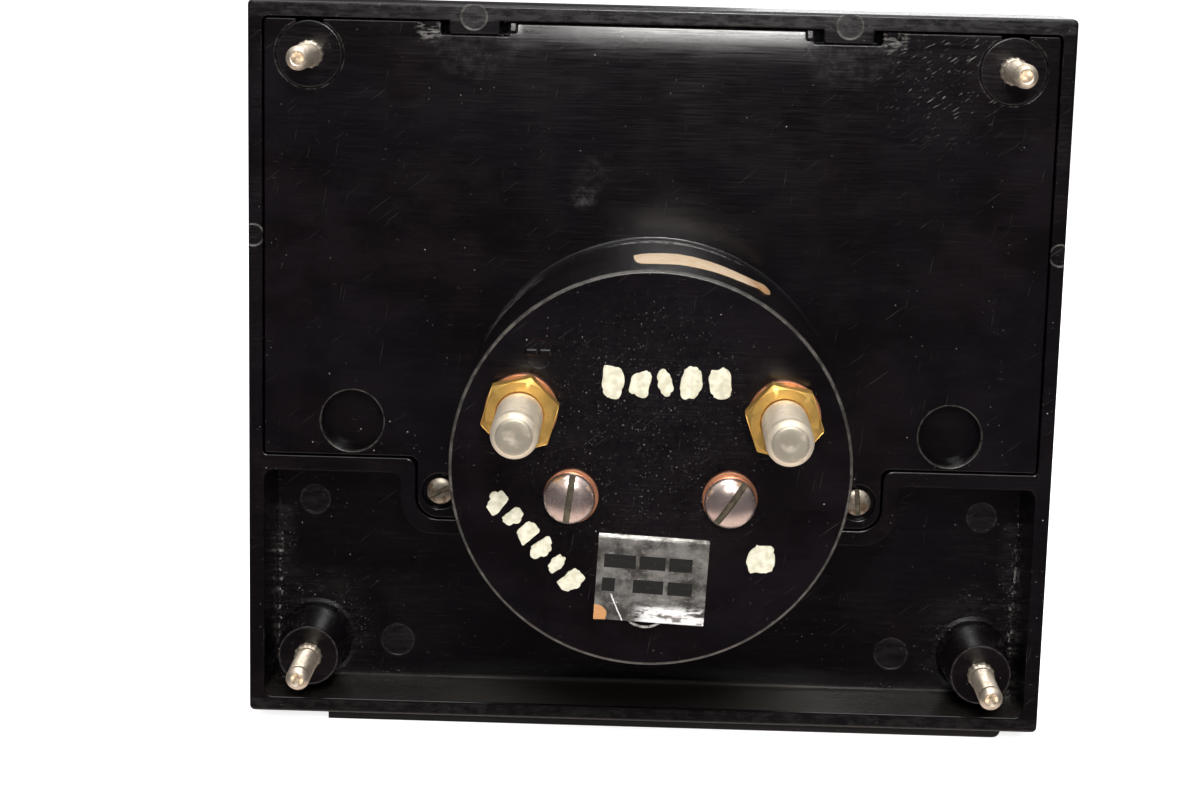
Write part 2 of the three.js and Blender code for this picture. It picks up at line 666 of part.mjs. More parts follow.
function shunt() {
  const { x, z, tail } = TERMINAL;
  const { frontY, rearY } = SHUNT;
  const end = 4;
  const bar = slab(outline(-x - end, x + end, z - end, z + end, 1.5), frontY, rearY);
  const holes = bothSides((side) => rod(tail + GAP, frontY - 1, rearY + 1, side * x, z));
  const waist = block(-x / 2, x / 2, frontY - 1, rearY + 1, z + 1.5, z + end + 1);
  addPiece("shunt", cut(bar, waist, ...holes), MANGANIN);
}

function lead(name, points) {
  const path = new THREE.CatmullRomCurve3(points.map((point) => new THREE.Vector3(...point)));
  const section = new THREE.Shape().absarc(0, 0, LEAD_RADIUS, 0, 2 * Math.PI, false);
  const options = { steps: 16, extrudePath: path, curveSegments: 4, bevelEnabled: false };
  addPiece(name, solid(new THREE.ExtrudeGeometry(section, options)), COPPER);
}

function leads() {
  lead("lead_front", [
    [4, 21.6, 11], [9, 19.5, 18.5], [11, 12, 19], [11, 2, 19], [15, -2.5, 12], [15.2, -3.4, 4],
  ]);
  lead("lead_rear", [[-5, 23, 3.2], [-4.2, 22.6, 1.8], [-3.2, 22.1, 1], [-2.8, 21.7, 0.8]]);
}

// ---------------------------------------------------------------- assembly

frontCover();
base();
mountingStuds();
terminal("left", -1, NUT.leftTurn);
terminal("right", 1, NUT.rightTurn);
faceScrews();
foilLabel();
windowPane();
scalePlate();
scaleScrew("scale_screw_left", -1);
scaleScrew("scale_screw_right", 1);
zeroAdjuster();
zeroLever();
magnetAndCore();
poleShoe("pole_shoe_left", -1);
poleShoe("pole_shoe_right", 1);
rearBridge();
movementPost("movement_post_left", -1);
movementPost("movement_post_right", 1);
frontBridge();
jewels();
movingCoil();
pointer();
balanceWeight();
spiral("front_hairspring", -1.15);
spiral("rear_hairspring", COIL.rearY + 0.3);
shunt();
leads();

export default group;
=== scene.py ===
"""Rectangular analogue panel meter, seen from its back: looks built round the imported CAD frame."""

import json
import math
from functools import reduce

import bmesh
import bpy
from mathutils import Matrix, Vector, noise
from mathutils.geometry import tessellate_polygon


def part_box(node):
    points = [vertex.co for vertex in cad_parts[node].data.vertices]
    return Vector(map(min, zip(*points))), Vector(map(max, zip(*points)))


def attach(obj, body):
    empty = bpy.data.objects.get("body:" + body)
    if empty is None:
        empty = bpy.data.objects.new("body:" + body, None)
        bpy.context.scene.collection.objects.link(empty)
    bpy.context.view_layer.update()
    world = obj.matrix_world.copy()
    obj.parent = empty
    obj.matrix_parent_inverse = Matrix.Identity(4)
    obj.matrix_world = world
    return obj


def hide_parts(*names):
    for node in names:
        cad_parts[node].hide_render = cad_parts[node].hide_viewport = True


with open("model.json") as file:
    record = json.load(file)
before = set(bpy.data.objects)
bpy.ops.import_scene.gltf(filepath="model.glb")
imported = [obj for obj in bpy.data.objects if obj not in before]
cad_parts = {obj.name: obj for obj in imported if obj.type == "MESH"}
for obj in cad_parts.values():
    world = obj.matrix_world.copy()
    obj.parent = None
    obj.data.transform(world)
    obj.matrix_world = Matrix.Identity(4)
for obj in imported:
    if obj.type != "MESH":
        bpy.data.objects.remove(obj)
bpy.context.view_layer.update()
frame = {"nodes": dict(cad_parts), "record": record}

MM = 0.001
SIDES = (-1, 1)
SMOOTH_ANGLE = math.radians(32)


# ------------------------------------------------------------------ places, from the CAD nodes


def span(node):
    """Lowest and highest corner of a CAD node, in millimetres."""
    low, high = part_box(node)
    return low / MM, high / MM


def centre(node):
    low, high = span(node)
    return (low + high) / 2


COVER_LOW, COVER_HIGH = span("front_cover")
BASE_LOW, BASE_HIGH = span("base")
HALF_WIDTH = COVER_HIGH.x
COVER_TOP = COVER_HIGH.z
LEDGE_BOTTOM = COVER_LOW.z
COVER_BOTTOM = LEDGE_BOTTOM + 1.5
FRONT_Y = COVER_LOW.y
PLATE_HALF = BASE_HIGH.x
PLATE_TOP = BASE_HIGH.z
PLATE_BOTTOM = -5.9
PLATE_THICK = 4.4
EAR_HALF, EAR_BOTTOM, EAR_CORNER = 34.85, -15.2, 3.2
BARREL_R = -BASE_LOW.z
BARREL_WALL = 2.6
BARREL_SIDES = 160
FACE_Y = BASE_HIGH.y
FACE_R = BARREL_R - 0.18
FLOOR_Y = -10.2
MASK_Y = -12.8
RIM = 2.3
WALL = 2.35
GAP = 0.3
BOSS_GAP = 0.03
STUD_X = centre("mounting_stud_top_right").x
STUD_TOP_Z = centre("mounting_stud_top_right").z
STUD_LOW_Z = centre("mounting_stud_bottom_right").z
STUD_TIP = span("mounting_stud_top_right")[1].y
TERMINAL_TIP = span("terminal_stud_right")[1].y
BOSS_TOP_R, BOSS_R = 4.9, 4.7
EAR_SCREW, EAR_HOLE_R = centre("ear_screw_right"), 2.75
NOTCH_MIN, NOTCH_MAX, NOTCH_BOTTOM = 22.1, 32.2, 57.0
TAB_MIN, TAB_MAX, TAB_BOTTOM = 23.5, 30.9, 57.2
BLIND_X, BLIND_Z, BLIND_R, BLIND_DEPTH = 44.74, -0.66, 4.65, 3.0
# ejector marks of the cover: x of both mirror images, z, radius, and how pale they are
FLOOR_MARKS = ((51.6, -15.3, 2.25, 0.35), (38.6, -37.6, 2.5, 0.35))
RIM_MARKS = ((27.3, 59.7, 1.87, 0.7), (59.6, 27.0, 1.6, 0.15))
WINDOW_HALF, WINDOW_BOTTOM, WINDOW_TOP = 52, 13.5, 54
MASK_HALF, MASK_TOP, PANE_BOTTOM, ADJUSTER_HOLE_R = 56.7, 9.3, 9.6, 3.0
WINDOW_LOW, WINDOW_HIGH = span("window")
SCALE_LOW, SCALE_HIGH = span("scale_plate")
LABEL_WIDTH, LABEL_HEIGHT, LABEL_TURN = 15.3, 12.2, -2.6
LABEL_BARS = (
    # across, up, width, height
    (4.5, 2.3, 4.4, 1.9), (0.0, 2.3, 3.6, 1.9), (-3.9, 2.3, 3.2, 1.9),
    (5.9, -1.1, 1.8, 1.9), (0.4, -1.1, 4.2, 1.9), (-4.0, -1.1, 3.4, 1.9),
)


# ------------------------------------------------------------------ mesh building


def link(name, data):
    """A new object of the scene that shows the data."""
    made = bpy.data.objects.new(name, data)
    bpy.context.scene.collection.objects.link(made)
    return made


def rounded(corners):
    """Closed X-Z outline in millimetres from (x, z, fillet radius) corners."""
    points = []
    for index, (x, z, radius) in enumerate(corners):
        corner = Vector((x, z))
        if radius <= 0:
            points.append(corner)
            continue
        before = (Vector(corners[index - 1][:2]) - corner).normalized()
        after = (Vector(corners[(index + 1) % len(corners)][:2]) - corner).normalized()
        half = before.angle(after) / 2
        middle = corner + (before + after).normalized() * (radius / math.sin(half))
        start = corner + before * (radius / math.tan(half)) - middle
        end = corner + after * (radius / math.tan(half)) - middle
        first = math.atan2(start.y, start.x)
        turn = math.atan2(end.y, end.x) - first
        turn = (turn + math.pi) % (2 * math.pi) - math.pi
        steps = max(3, math.ceil(abs(turn) * (2.5 + radius)))
        for step in range(steps + 1):
            angle = first + turn * step / steps
            points.append(middle + radius * Vector((math.cos(angle), math.sin(angle))))
    return points


def arc(x, z, radius, start, end, steps):
    """Points of an arc, in degrees from +X towards +Z, as corners without a fillet."""
    angles = [math.radians(start + (end - start) * i / steps) for i in range(steps + 1)]
    return [(x + radius * math.cos(a), z + radius * math.sin(a), 0) for a in angles]


def circle(x, z, radius, steps=40):
    return rounded(arc(x, z, radius, 0, 360, steps)[:-1])


def mirrored(half):
    """A right half of corners, followed by its mirror image."""
    return half + [(-x, z, radius) for x, z, radius in reversed(half)]


def area(loop):
    pairs = zip(loop, loop[1:] + loop[:1])
    return sum(a.x * b.y - b.x * a.y for a, b in pairs) / 2


def inset(loop, distance):
    """The loop moved to its left, which is into the material."""
    moved = []
    for index, point in enumerate(loop):
        first = (point - loop[index - 1]).normalized()
        second = (loop[(index + 1) % len(loop)] - point).normalized()
        left = Vector((-first.y - second.y, first.x + second.x))
        if left.length < 1e-9:
            left = Vector((-first.y, first.x))
        left.normalize()
        stretch = max(0.35, left.dot(Vector((-first.y, first.x))))
        moved.append(point + left * (distance / stretch))
    return moved


def extrude(bm, loops, levels):
    """Closed solid from X-Z loops, outer first, each through its own (inset, y) levels."""
    made = []
    rings_of = []
    for index, (loop, steps) in enumerate(zip(loops, levels)):
        outward = area(loop) > 0
        loop = loop if outward == (index == 0) else loop[::-1]
        rings = []
        for distance, y in steps:
            ring = inset(loop, distance)
            rings.append([bm.verts.new((p.x * MM, y * MM, p.y * MM)) for p in ring])
        for low, high in zip(rings, rings[1:]):
            for i in range(len(loop)):
                j = (i + 1) % len(loop)
                made.append(bm.faces.new((low[i], low[j], high[j], high[i])))
        rings_of.append(rings)
    for end in (0, -1):
        ends = [rings[end] for rings in rings_of]
        verts = [vert for ring in ends for vert in ring]
        flat = [[Vector((v.co.x, v.co.z, 0)) / MM for v in ring] for ring in ends]
        for triangle in tessellate_polygon(flat):
            made.append(bm.faces.new([verts[i] for i in triangle]))
    bmesh.ops.recalc_face_normals(bm, faces=made)
    return made


ROUND_EDGE = ((1, 0), (0.65, 0.07), (0.3, 0.3), (0.07, 0.65), (0, 1))


def plain(low, high, edge_low=0.0, edge_high=0.0):
    """(inset, y) levels of a wall with rounded edges."""
    foot = [(edge_low * a, low + edge_low * b) for a, b in ROUND_EDGE] if edge_low else [(0, low)]
    if not edge_high:
        return foot + [(0, high)]
    return foot + [(edge_high * a, high - edge_high * b) for a, b in reversed(ROUND_EDGE)]


def lathe(bm, profile, x=0.0, z=0.0, sides=48, ring=False):
    """Profile of (radius, y) points, or of functions of the angle that give them, about +Y."""
    rows = []
    for point in profile:
        row = []
        for side in range(sides):
            angle = 2 * math.pi * side / sides
            radius, y = point(angle) if callable(point) else point
            place = (x + radius * math.cos(angle), y, z + radius * math.sin(angle))
            row.append(Vector(place) * MM)
        if not callable(point) and point[0] == 0:
            rows.append([bm.verts.new(row[0])])
        else:
            rows.append([bm.verts.new(place) for place in row])
    made = []
    pairs = list(zip(rows, rows[1:]))
    if ring:
        pairs.append((rows[-1], rows[0]))
    for low, high in pairs:
        for i in range(sides):
            j = (i + 1) % sides
            corners = [low[i % len(low)], low[j % len(low)],
                       high[j % len(high)], high[i % len(high)]]
            made.append(bm.faces.new(list(dict.fromkeys(corners))))
    bmesh.ops.recalc_face_normals(bm, faces=made)
    return made


def prism(loops, levels):
    """An extruded solid, to be built later."""
    return lambda bm: extrude(bm, loops, levels)


def turned(profile, x=0.0, z=0.0, sides=48, ring=False):
    """A lathed solid, to be built later."""
    return lambda bm: lathe(bm, profile, x, z, sides, ring)


def box(bm, low, high, turn=0.0, pivot=(0.0, 0.0)):
    """A block, turned about +Y through a pivot; positive is clockwise seen from the dial side."""
    corners = [Vector((x, y, z)) for x in (low[0], high[0]) for y in (low[1], high[1])
               for z in (low[2], high[2])]
    middle = Vector((pivot[0], 0, pivot[1]))
    spin = Matrix.Rotation(math.radians(turn), 3, "Y")
    verts = [bm.verts.new((spin @ (c - middle) + middle) * MM) for c in corners]
    quads = ((0, 1, 3, 2), (4, 6, 7, 5), (0, 4, 5, 1), (2, 3, 7, 6), (0, 2, 6, 4), (1, 5, 7, 3))
    made = [bm.faces.new([verts[i] for i in quad]) for quad in quads]
    bmesh.ops.recalc_face_normals(bm, faces=made)
    return made


def to_object(name, build):
    """A mesh object from a function that fills a bmesh."""
    mesh = bpy.data.meshes.new(name)
    bm = bmesh.new()
    build(bm)
    bm.to_mesh(mesh)
    bm.free()
    return link(name, mesh)


def combine(target, operation, builds, material=None):
    """The target joined with, or cut by, each tool in turn; cuts can leave a material."""
    tools = [to_object("tool", build) for build in builds]
    for tool in tools:
        if material:
            tool.data.materials.append(material)
        modifier = target.modifiers.new("Boolean", "BOOLEAN")
        modifier.solver = "MANIFOLD"
        modifier.operation = operation
        modifier.object = tool
        modifier.material_mode = "TRANSFER" if material else "INDEX"
    bpy.context.view_layer.update()
    shaped = target.evaluated_get(bpy.context.evaluated_depsgraph_get())
    mesh = bpy.data.meshes.new_from_object(shaped)
    target.modifiers.clear()
    target.data = mesh
    for tool in tools:
        bpy.data.objects.remove(tool)


def refine(target, change):
    """The target's mesh passed through a function of its bmesh."""
    bm = bmesh.new()
    bm.from_mesh(target.data)
    change(bm)
    bm.to_mesh(target.data)
    bm.free()


def clean(bm):
    bmesh.ops.remove_doubles(bm, verts=bm.verts, dist=0.002 * MM)
    bmesh.ops.dissolve_limit(
        bm, angle_limit=math.radians(0.5), verts=bm.verts, edges=bm.edges, delimit={"MATERIAL"})


def finish_piece(piece, body, material, nodes=(), weighted=True):
    """Shading, material, body and slot of a visible piece, and the CAD nodes it stands for."""
    if not any(piece.data.materials):
        piece.data.materials.clear()
        piece.data.materials.append(material)
    piece.data.polygons.foreach_set("use_smooth", [True] * len(piece.data.polygons))
    piece.data.set_sharp_from_angle(angle=SMOOTH_ANGLE)
    if weighted:
        modifier = piece.modifiers.new("Normals", "WEIGHTED_NORMAL")
        modifier.keep_sharp = True
        modifier.weight = 80
    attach(piece, body)
    if nodes:
        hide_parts(*nodes)


def add_piece(name, build, material, nodes=(), weighted=True):
    """A piece of the case from a function that fills a bmesh."""
    piece = to_object(name, build)
    finish_piece(piece, "case", material, nodes, weighted)
    return piece


# ------------------------------------------------------------------ materials


class Nodes:
    """Shorthand for building a node tree."""

    def __init__(self, tree):
        self.tree = tree

    def add(self, kind, settings=None, inputs=None):
        node = self.tree.nodes.new("ShaderNode" + kind)
        for key, value in (settings or {}).items():
            setattr(node, key, value)
        for key, value in (inputs or {}).items():
            self.put(node.inputs[key], value)
        return node

    def put(self, socket, value):
        if isinstance(value, bpy.types.NodeSocket):
            self.tree.links.new(value, socket)
        elif socket.type == "RGBA":
            socket.default_value = (*value, 1)
        else:
            socket.default_value = value

    def mix(self, factor, first, second):
        node = self.add("Mix", {"data_type": "RGBA"}, {0: factor, 6: first, 7: second})
        return node.outputs[2]

    def split(self, vector):
        parts = self.add("SeparateXYZ", None, {"Vector": vector}).outputs
        return parts["X"], parts["Y"], parts["Z"]


class Look(Nodes):
    """A procedural material; sizes, places and limits are in millimetres of the object."""

    def __init__(self, name):
        self.material = bpy.data.materials.new(name)
        self.material.use_nodes = True
        super().__init__(self.material.node_tree)
        self.shader = self.tree.nodes["Principled BSDF"]
        self.place = self.add("TexCoord").outputs["Object"]
        self.x, self.y, self.z = self.split(self.place)
        self.side = self.math("ABSOLUTE", self.x)

    def set(self, **values):
        for key, value in values.items():
            self.put(self.shader.inputs[key.replace("_", " ")], value)

    def stretched(self, size, turn=(0, 0, 0)):
        sizes = size if isinstance(size, tuple) else (size, size, size)
        angles = [math.radians(a) for a in turn]
        spun = self.add("Mapping", None, {"Vector": self.place, "Rotation": angles}).outputs[0]
        scale = [1 / (s * MM) for s in sizes]
        return self.add("Mapping", None, {"Vector": spun, "Scale": scale}).outputs[0]

    def noise(self, size, detail=3.0, turn=(0, 0, 0), rough=0.5):
        inputs = {"Vector": self.stretched(size, turn), "Scale": 1.0, "Detail": detail,
                  "Roughness": rough}
        return self.add("TexNoise", None, inputs).outputs["Fac"]

    def ramp(self, value, low, high, start=0.0, end=1.0):
        """value from low to high, mapped to start to end and held there."""
        inputs = {"Value": value, "From Min": low, "From Max": high, "To Min": start, "To Max": end}
        return self.add("MapRange", {"interpolation_type": "SMOOTHSTEP"}, inputs).outputs["Result"]

    def cloudy(self, size, detail, low, high, start=0.0, end=1.0, turn=(0, 0, 0), rough=0.5):
        """Noise from low to high, mapped to start to end."""
        return self.ramp(self.noise(size, detail, turn, rough), low, high, start, end)

    def math(self, operation, first, second=0.0):
        return self.add("Math", {"operation": operation}, {0: first, 1: second}).outputs[0]

    def plus(self, first, second):
        return self.math("ADD", first, second)

    def most(self, *masks):
        return reduce(lambda a, b: self.math("MAXIMUM", a, b), masks)

    def times(self, *masks):
        return reduce(lambda a, b: self.math("MULTIPLY", a, b), masks)

    def over(self, value, limit):
        return self.math("GREATER_THAN", value, limit * MM)

    def under(self, value, limit):
        return self.math("LESS_THAN", value, limit * MM)

    def away(self, value, at):
        """How far a value is from a place, in metres."""
        return self.math("ABSOLUTE", self.math("SUBTRACT", value, at * MM))

    def fade(self, value, inner, outer, start=1.0, end=0.0):
        """Mask that falls from start to end between two distances."""
        return self.ramp(value, inner * MM, outer * MM, start, end)

    def slab(self, low, high):
        """Mask of the space between two depths."""
        return self.times(self.over(self.y, low), self.under(self.y, high))

    def distance(self, x, z, across, up):
        """Distance in metres from a line along Y."""
        flat = self.add("CombineXYZ", None, {"X": across, "Z": up}).outputs[0]
        inputs = {0: flat, 1: (x * MM, 0, z * MM)}
        return self.add("VectorMath", {"operation": "DISTANCE"}, inputs).outputs["Value"]

    def spot(self, x, z, inner, outer, folded=True):
        """Mask that is 1 within the inner radius; folded adds its mirror image."""
        across = self.side if folded else self.x
        return self.fade(self.distance(x, z, across, self.z), inner, outer)

    def ring(self, x, z, radius, width, folded=True):
        """Mask of a thin circle."""
        across = self.side if folded else self.x
        off = self.away(self.distance(x, z, across, self.z), radius)
        return self.fade(off, width * 0.3, width * 0.7)

    def specks(self, size, share, radius):
        """Mask of round specks, one per cell of that size, in that share of the cells."""
        inputs = {"Vector": self.stretched(size), "Scale": 1.0}
        cells = self.add("TexVoronoi", None, inputs).outputs
        red = self.add("SeparateColor", None, {"Color": cells["Color"]}).outputs["Red"]
        chosen = self.math("LESS_THAN", red, share)
        return self.times(chosen, self.ramp(cells["Distance"], radius * 0.5, radius, 1.0, 0.0))

    def bump(self, height, distance, strength=1.0, under=None):
        inputs = {"Height": height, "Distance": distance * MM, "Strength": strength}
        if under:
            inputs["Normal"] = under
        return self.add("Bump", None, inputs).outputs["Normal"]


def phenolic(name, streak, gloss, dust, detail):
    """Black moulded phenolic: polishing streaks, cloudy gloss, scratches and pale dust.

    detail(look) gives the masks of hazy dust, scattered crumbs, rubbed edges plus painted light, and
    scrapes plus painted highlights.
    """
    look = Look(name)
    cloudy, noise_of, times, most, mix = look.cloudy, look.noise, look.times, look.most, look.mix
    # the third and fourth masks hold painted highlights and painted light as well as rubbing and
    # scrapes
    dusty, crumbly, worn_and_painted_light, scraped_and_painted_highlight = detail(look)

    streaks = noise_of(streak, 4, rough=0.65)
    cloud = cloudy((13, 9, 9), 4, 0.36, 0.66, rough=0.6)
    hue = cloudy((21, 21, 17), 2, 0.4, 0.6)
    patches = cloudy(7, 3, 0.46, 0.62)
    short = cloudy((2.6, 0.1, 0.1), 2, 0.72, 0.77, turn=(0, 14, 0))
    long = cloudy((9, 0.1, 0.1), 1, 0.73, 0.78, turn=(0, -38, 0))
    across = cloudy((0.1, 0.1, 7), 1, 0.74, 0.79, turn=(0, 9, 0))
    scratches = most(times(short, patches), times(long, 0.45), times(across, 0.4))
    crossed = most(*[noise_of(size, 4, rough=0.7) for size in ((1.8, 0.2, 0.2), (0.2, 0.2, 1.8))])
    film = times(look.ramp(crossed, 0.5, 0.72), look.under(look.y, 1))
    nicks = times(look.specks(1.3, 0.25, 0.09), look.ramp(patches, 0, 1, 0.35, 1.0))
    dots = most(look.specks(2.4, dust, 0.05), times(look.specks(0.8, dust, 0.085), patches))
    strewn = cloudy(2.3, 4, 0.44, 0.58, 0.15, rough=0.7)
    crumbs = most(look.specks(0.42, 0.6, 0.2), times(look.specks(0.9, 0.35, 0.17), 0.8))
    crumbs = times(crumbs, crumbly, strewn)

    colour = mix(cloud, (0.0018, 0.0010, 0.0016), (0.0042, 0.0025, 0.0036))
    for mask, tint in (
        (times(hue, 0.35), (0.0034, 0.0030, 0.0046)),
        (times(film, 0.14), (0.016, 0.014, 0.015)),
        (times(nicks, 0.7), (0.12, 0.11, 0.105)),
        (times(scratches, 0.55), (0.16, 0.15, 0.145)),
        (times(dusty, 0.6), (0.030, 0.027, 0.025)),
        (times(most(dots, crumbs), 0.8), (0.36, 0.33, 0.30)),
        # rubbing, with painted highlight rings and painted light on shaded walls
        (worn_and_painted_light, (0.075, 0.066, 0.057)),
        # scrapes, with painted highlights
        (scraped_and_painted_highlight, (0.34, 0.32, 0.30)),
    ):
        colour = mix(mask, colour, tint)
    rough = look.plus(look.ramp(streaks, 0.3, 0.7, *gloss), look.ramp(cloud, 0, 1, -0.01, 0.02))
    rough = look.plus(rough, times(most(dots, dusty, worn_and_painted_light), 0.3))
    normal = look.bump(streaks, 0.006, 0.8)
    normal = look.bump(noise_of(0.16, 2), 0.0025, 0.6, normal)
    normal = look.bump(noise_of(3.5, 2), 0.02, 0.5, normal)
    look.set(Base_Color=colour, Roughness=rough, Normal=normal, IOR=1.5)
    return look.material


def plate_detail(look):
    """Plate and barrel: rubbed edge of the barrel's face, scrapes at the root, a dusty smudge, and
    painted highlights round the upper bosses, on the notch shoulders and on the face's small recess.
    """
    cloudy, times, most = look.cloudy, look.times, look.most
    haze = cloudy(1.6, 5, 0.38, 0.66, 0.1, rough=0.7)
    grit = cloudy(0.9, 4, 0.36, 0.6, rough=0.7)
    face = look.slab(FACE_Y - 0.6, FACE_Y + 1)
    back = look.slab(-0.9, 0.2)

    from_axis = look.distance(0, 0, look.x, look.z)
    edge = look.fade(from_axis, FACE_R - 0.5, FACE_R - 0.36, 0.0, 1.0)
    rim = times(face, edge, look.ramp(haze, 0.1, 1, 0.35, 1.0))
    pockets = times(look.ring(BLIND_X, BLIND_Z, BLIND_R + 0.1, 0.3), back,
                    look.ramp(haze, 0.1, 1, 0.15, 0.6))
    # painted highlight: a pale ring round each upper boss where the gap's edges would catch the
    # light
    painted_seat_highlight = times(look.ring(STUD_X, STUD_TOP_Z, BOSS_TOP_R + 0.15, 0.35), back,
                  look.ramp(haze, 0.1, 1, 0.0, 0.3))

    smudge = times(look.spot(10.56, 33.86, 0.4, 2.6, False), haze, back)
    trail = times(look.spot(9.2, 37.5, 0.5, 4.5, False), haze, back, 0.3)
    lip = times(look.spot(27.3, 57.6, 5.0, 8.5), haze, back, 0.3)
    middle = times(look.spot(0.5, 6.0, 9.0, 22.0, False), face, 0.42)
    powder = times(look.spot(0.5, 4.0, 12.0, 24.0, False), face, grit, 0.1)

    panel_line = look.fade(look.away(look.y, 3.4), 0.35, 0.85)
    panel_line = times(panel_line, look.spot(-3.0, 28.5, 5.0, 12.0, False),
                       look.ramp(grit, 0, 1, 0.3, 1.0), look.ramp(grit, 0.1, 0.8), 1.6)
    # painted highlight: dotted glints on the lower arc of the small round recess in the barrel's
    # face
    painted_recess_glint = times(look.ring(0.2, -18.8, 3.4, 0.3, False), face, grit,
                        look.fade(look.z, -21.4, -20.6))
    scuffed = times(look.spot(21.5, 18.5, 2.0, 8.0, False), look.slab(0.3, 9.0),
                    cloudy((1.6, 0.35, 1.6), 4, 0.5, 0.62, rough=0.75), 1.2)
    # painted highlight: pale spots on the outer shoulder of each notch
    painted_shoulder_highlight = times(look.spot(33.6, 58.2, 1.2, 2.6), look.slab(-0.9, 0.3),
                 cloudy((1.6, 0.5, 0.5), 3, 0.45, 0.6, rough=0.6), 0.4)
    slanted = times(look.spot(-41.5, 53.0, 4.0, 12.5, False), back,
                    cloudy((1.9, 0.2, 0.2), 3, 0.63, 0.69, turn=(0, -32, 0), rough=0.6), 0.7)
    # third mask: rubbed face edge and rings, with painted highlight rings round the upper bosses;
    # fourth: scrapes, with painted highlights on the notch shoulders and the face's small recess
    return (most(smudge, trail, lip, powder), most(smudge, middle), most(rim, pockets, painted_seat_highlight),
            most(panel_line, painted_recess_glint, scuffed, painted_shoulder_highlight, slanted))


def cover_detail(look):
    """Cover: paler ejector marks, grit round the lower bosses and along the recess walls, painted
    highlight rings round the upper bosses, and painted light on the shaded bottom wall of the
    recess.
    """
    cloudy, times, most = look.cloudy, look.times, look.most
    wall_x, wall_z = HALF_WIDTH - RIM, COVER_BOTTOM + RIM
    haze = cloudy((2.4, 2.4, 0.9), 5, 0.38, 0.66, 0.1, rough=0.7)
    patchy = look.ramp(haze, 0.1, 1, 0.3, 0.9)
    in_recess = times(look.under(look.side, wall_x + 0.4), look.over(look.z, wall_z - 0.4))
    deep = times(look.slab(FLOOR_Y - 0.5, FLOOR_Y + 2.5), in_recess)
    back = look.slab(-1.0, 0.2)

    foot = times(look.spot(STUD_X + 1, STUD_LOW_Z + 1, 6.0, 12.0), deep)
    wall = times(look.fade(look.side, wall_x - 4.2, wall_x - 1.6, 0.0, 1.0),
                 look.under(look.z, -16), deep)
    low = times(look.fade(look.z, -43, -41.5), look.fade(look.side, 28, 40, 0.0, 1.0), deep)
    # painted light: the recess's bottom wall is lightened, most in the middle where the barrel
    # shades it from the overhead lamp
    painted_fill_light = times(look.fade(look.z, wall_z + 0.9, wall_z + 1.5), look.slab(FLOOR_Y - 0.5, -0.3),
                    in_recess, look.fade(look.side, 20, 34, 1.0, 0.3))
    below = most(times(look.under(look.z, wall_z - 0.3), back, haze, 0.4),
                 times(look.under(look.z, COVER_BOTTOM - 0.1), 0.5))
    top = times(look.over(look.z, PLATE_TOP + 0.2), back, look.ramp(haze, 0.1, 1, 0.1, 0.4))
    swept = times(look.fade(look.away(look.side, wall_x - 1.0), 0.1, 0.65), deep,
                  look.fade(look.z, -22, -19),
                  cloudy((0.6, 0.6, 0.9), 3, 0.54, 0.62, rough=0.7), 0.6)

    def marks(places, where):
        """Masks of ejector marks and of the rings round them."""
        spots = [times(look.spot(x, z, r - 0.1, r + 0.1), pale) for x, z, r, pale in places]
        rings = [look.ring(x, z, r, 0.3) for x, z, r, _ in places]
        return times(most(*spots), where), times(most(*rings), where)

    floor_marks, floor_rings = marks(FLOOR_MARKS, deep)
    rim_marks, rim_rings = marks(RIM_MARKS, back)
    pale_marks = times(most(floor_marks, rim_marks), patchy)
    boss = times(look.ring(STUD_X, STUD_LOW_Z, BOSS_R - 0.25, 0.25), back, 0.4)
    # painted highlight: a faint pale ring round each upper boss, in place of light on the gap's
    # edges
    painted_seat_highlight = times(look.ring(STUD_X, STUD_TOP_Z, BOSS_TOP_R - 0.15, 0.3), back, 0.12)
    worn_and_painted_light = times(most(times(floor_rings, 0.35), times(rim_rings, 0.35), boss, painted_seat_highlight), patchy)

    dusty = most(times(foot, haze, 0.3), times(low, haze, 0.3), times(wall, haze, 0.4), pale_marks,
                 top, below)
    crumbly = most(foot, wall, low, times(pale_marks, 0.5))
    # third mask: rubbed rings, with the painted highlight rings and the painted light on the
    # recess's bottom wall
    return dusty, crumbly, most(worn_and_painted_light, times(painted_fill_light, 0.75)), most(
        times(rim_rings, patchy, 0.25), swept)


def metal(name, bare, stain, roughness=(0.22, 0.4), stain_at=(0.5, 0.72), scratch=(3, 0.06, 3),
          metallic=1.0, end=None):
    """Plated or bare metal: fine turning or drawing lines, cloudy tarnish, dark specks.

    end gives the depth beyond which the metal has another tint, and that tint.
    """
    look = Look(name)
    patches = look.cloudy(1.6, 5, *stain_at, rough=0.65)
    lines = look.noise(scratch, 3, rough=0.6)
    colour = look.mix(patches, bare, stain)
    if end:
        tip, tint = end
        at_end = look.times(look.over(look.y, tip), look.ramp(patches, 0, 1, 0.95, 0.4))
        colour = look.mix(at_end, colour, tint)
    colour = look.mix(look.times(look.specks(0.7, 0.3, 0.09), 0.6), colour, (0.06, 0.045, 0.035))
    gloss = look.plus(look.ramp(lines, 0.3, 0.7, *roughness), look.times(patches, 0.15))
    normal = look.bump(lines, 0.004, 0.8)
    normal = look.bump(look.noise(0.35), 0.006, 0.6, normal)
    look.set(Base_Color=colour, Roughness=gloss, Normal=normal, Metallic=metallic)
    return look.material


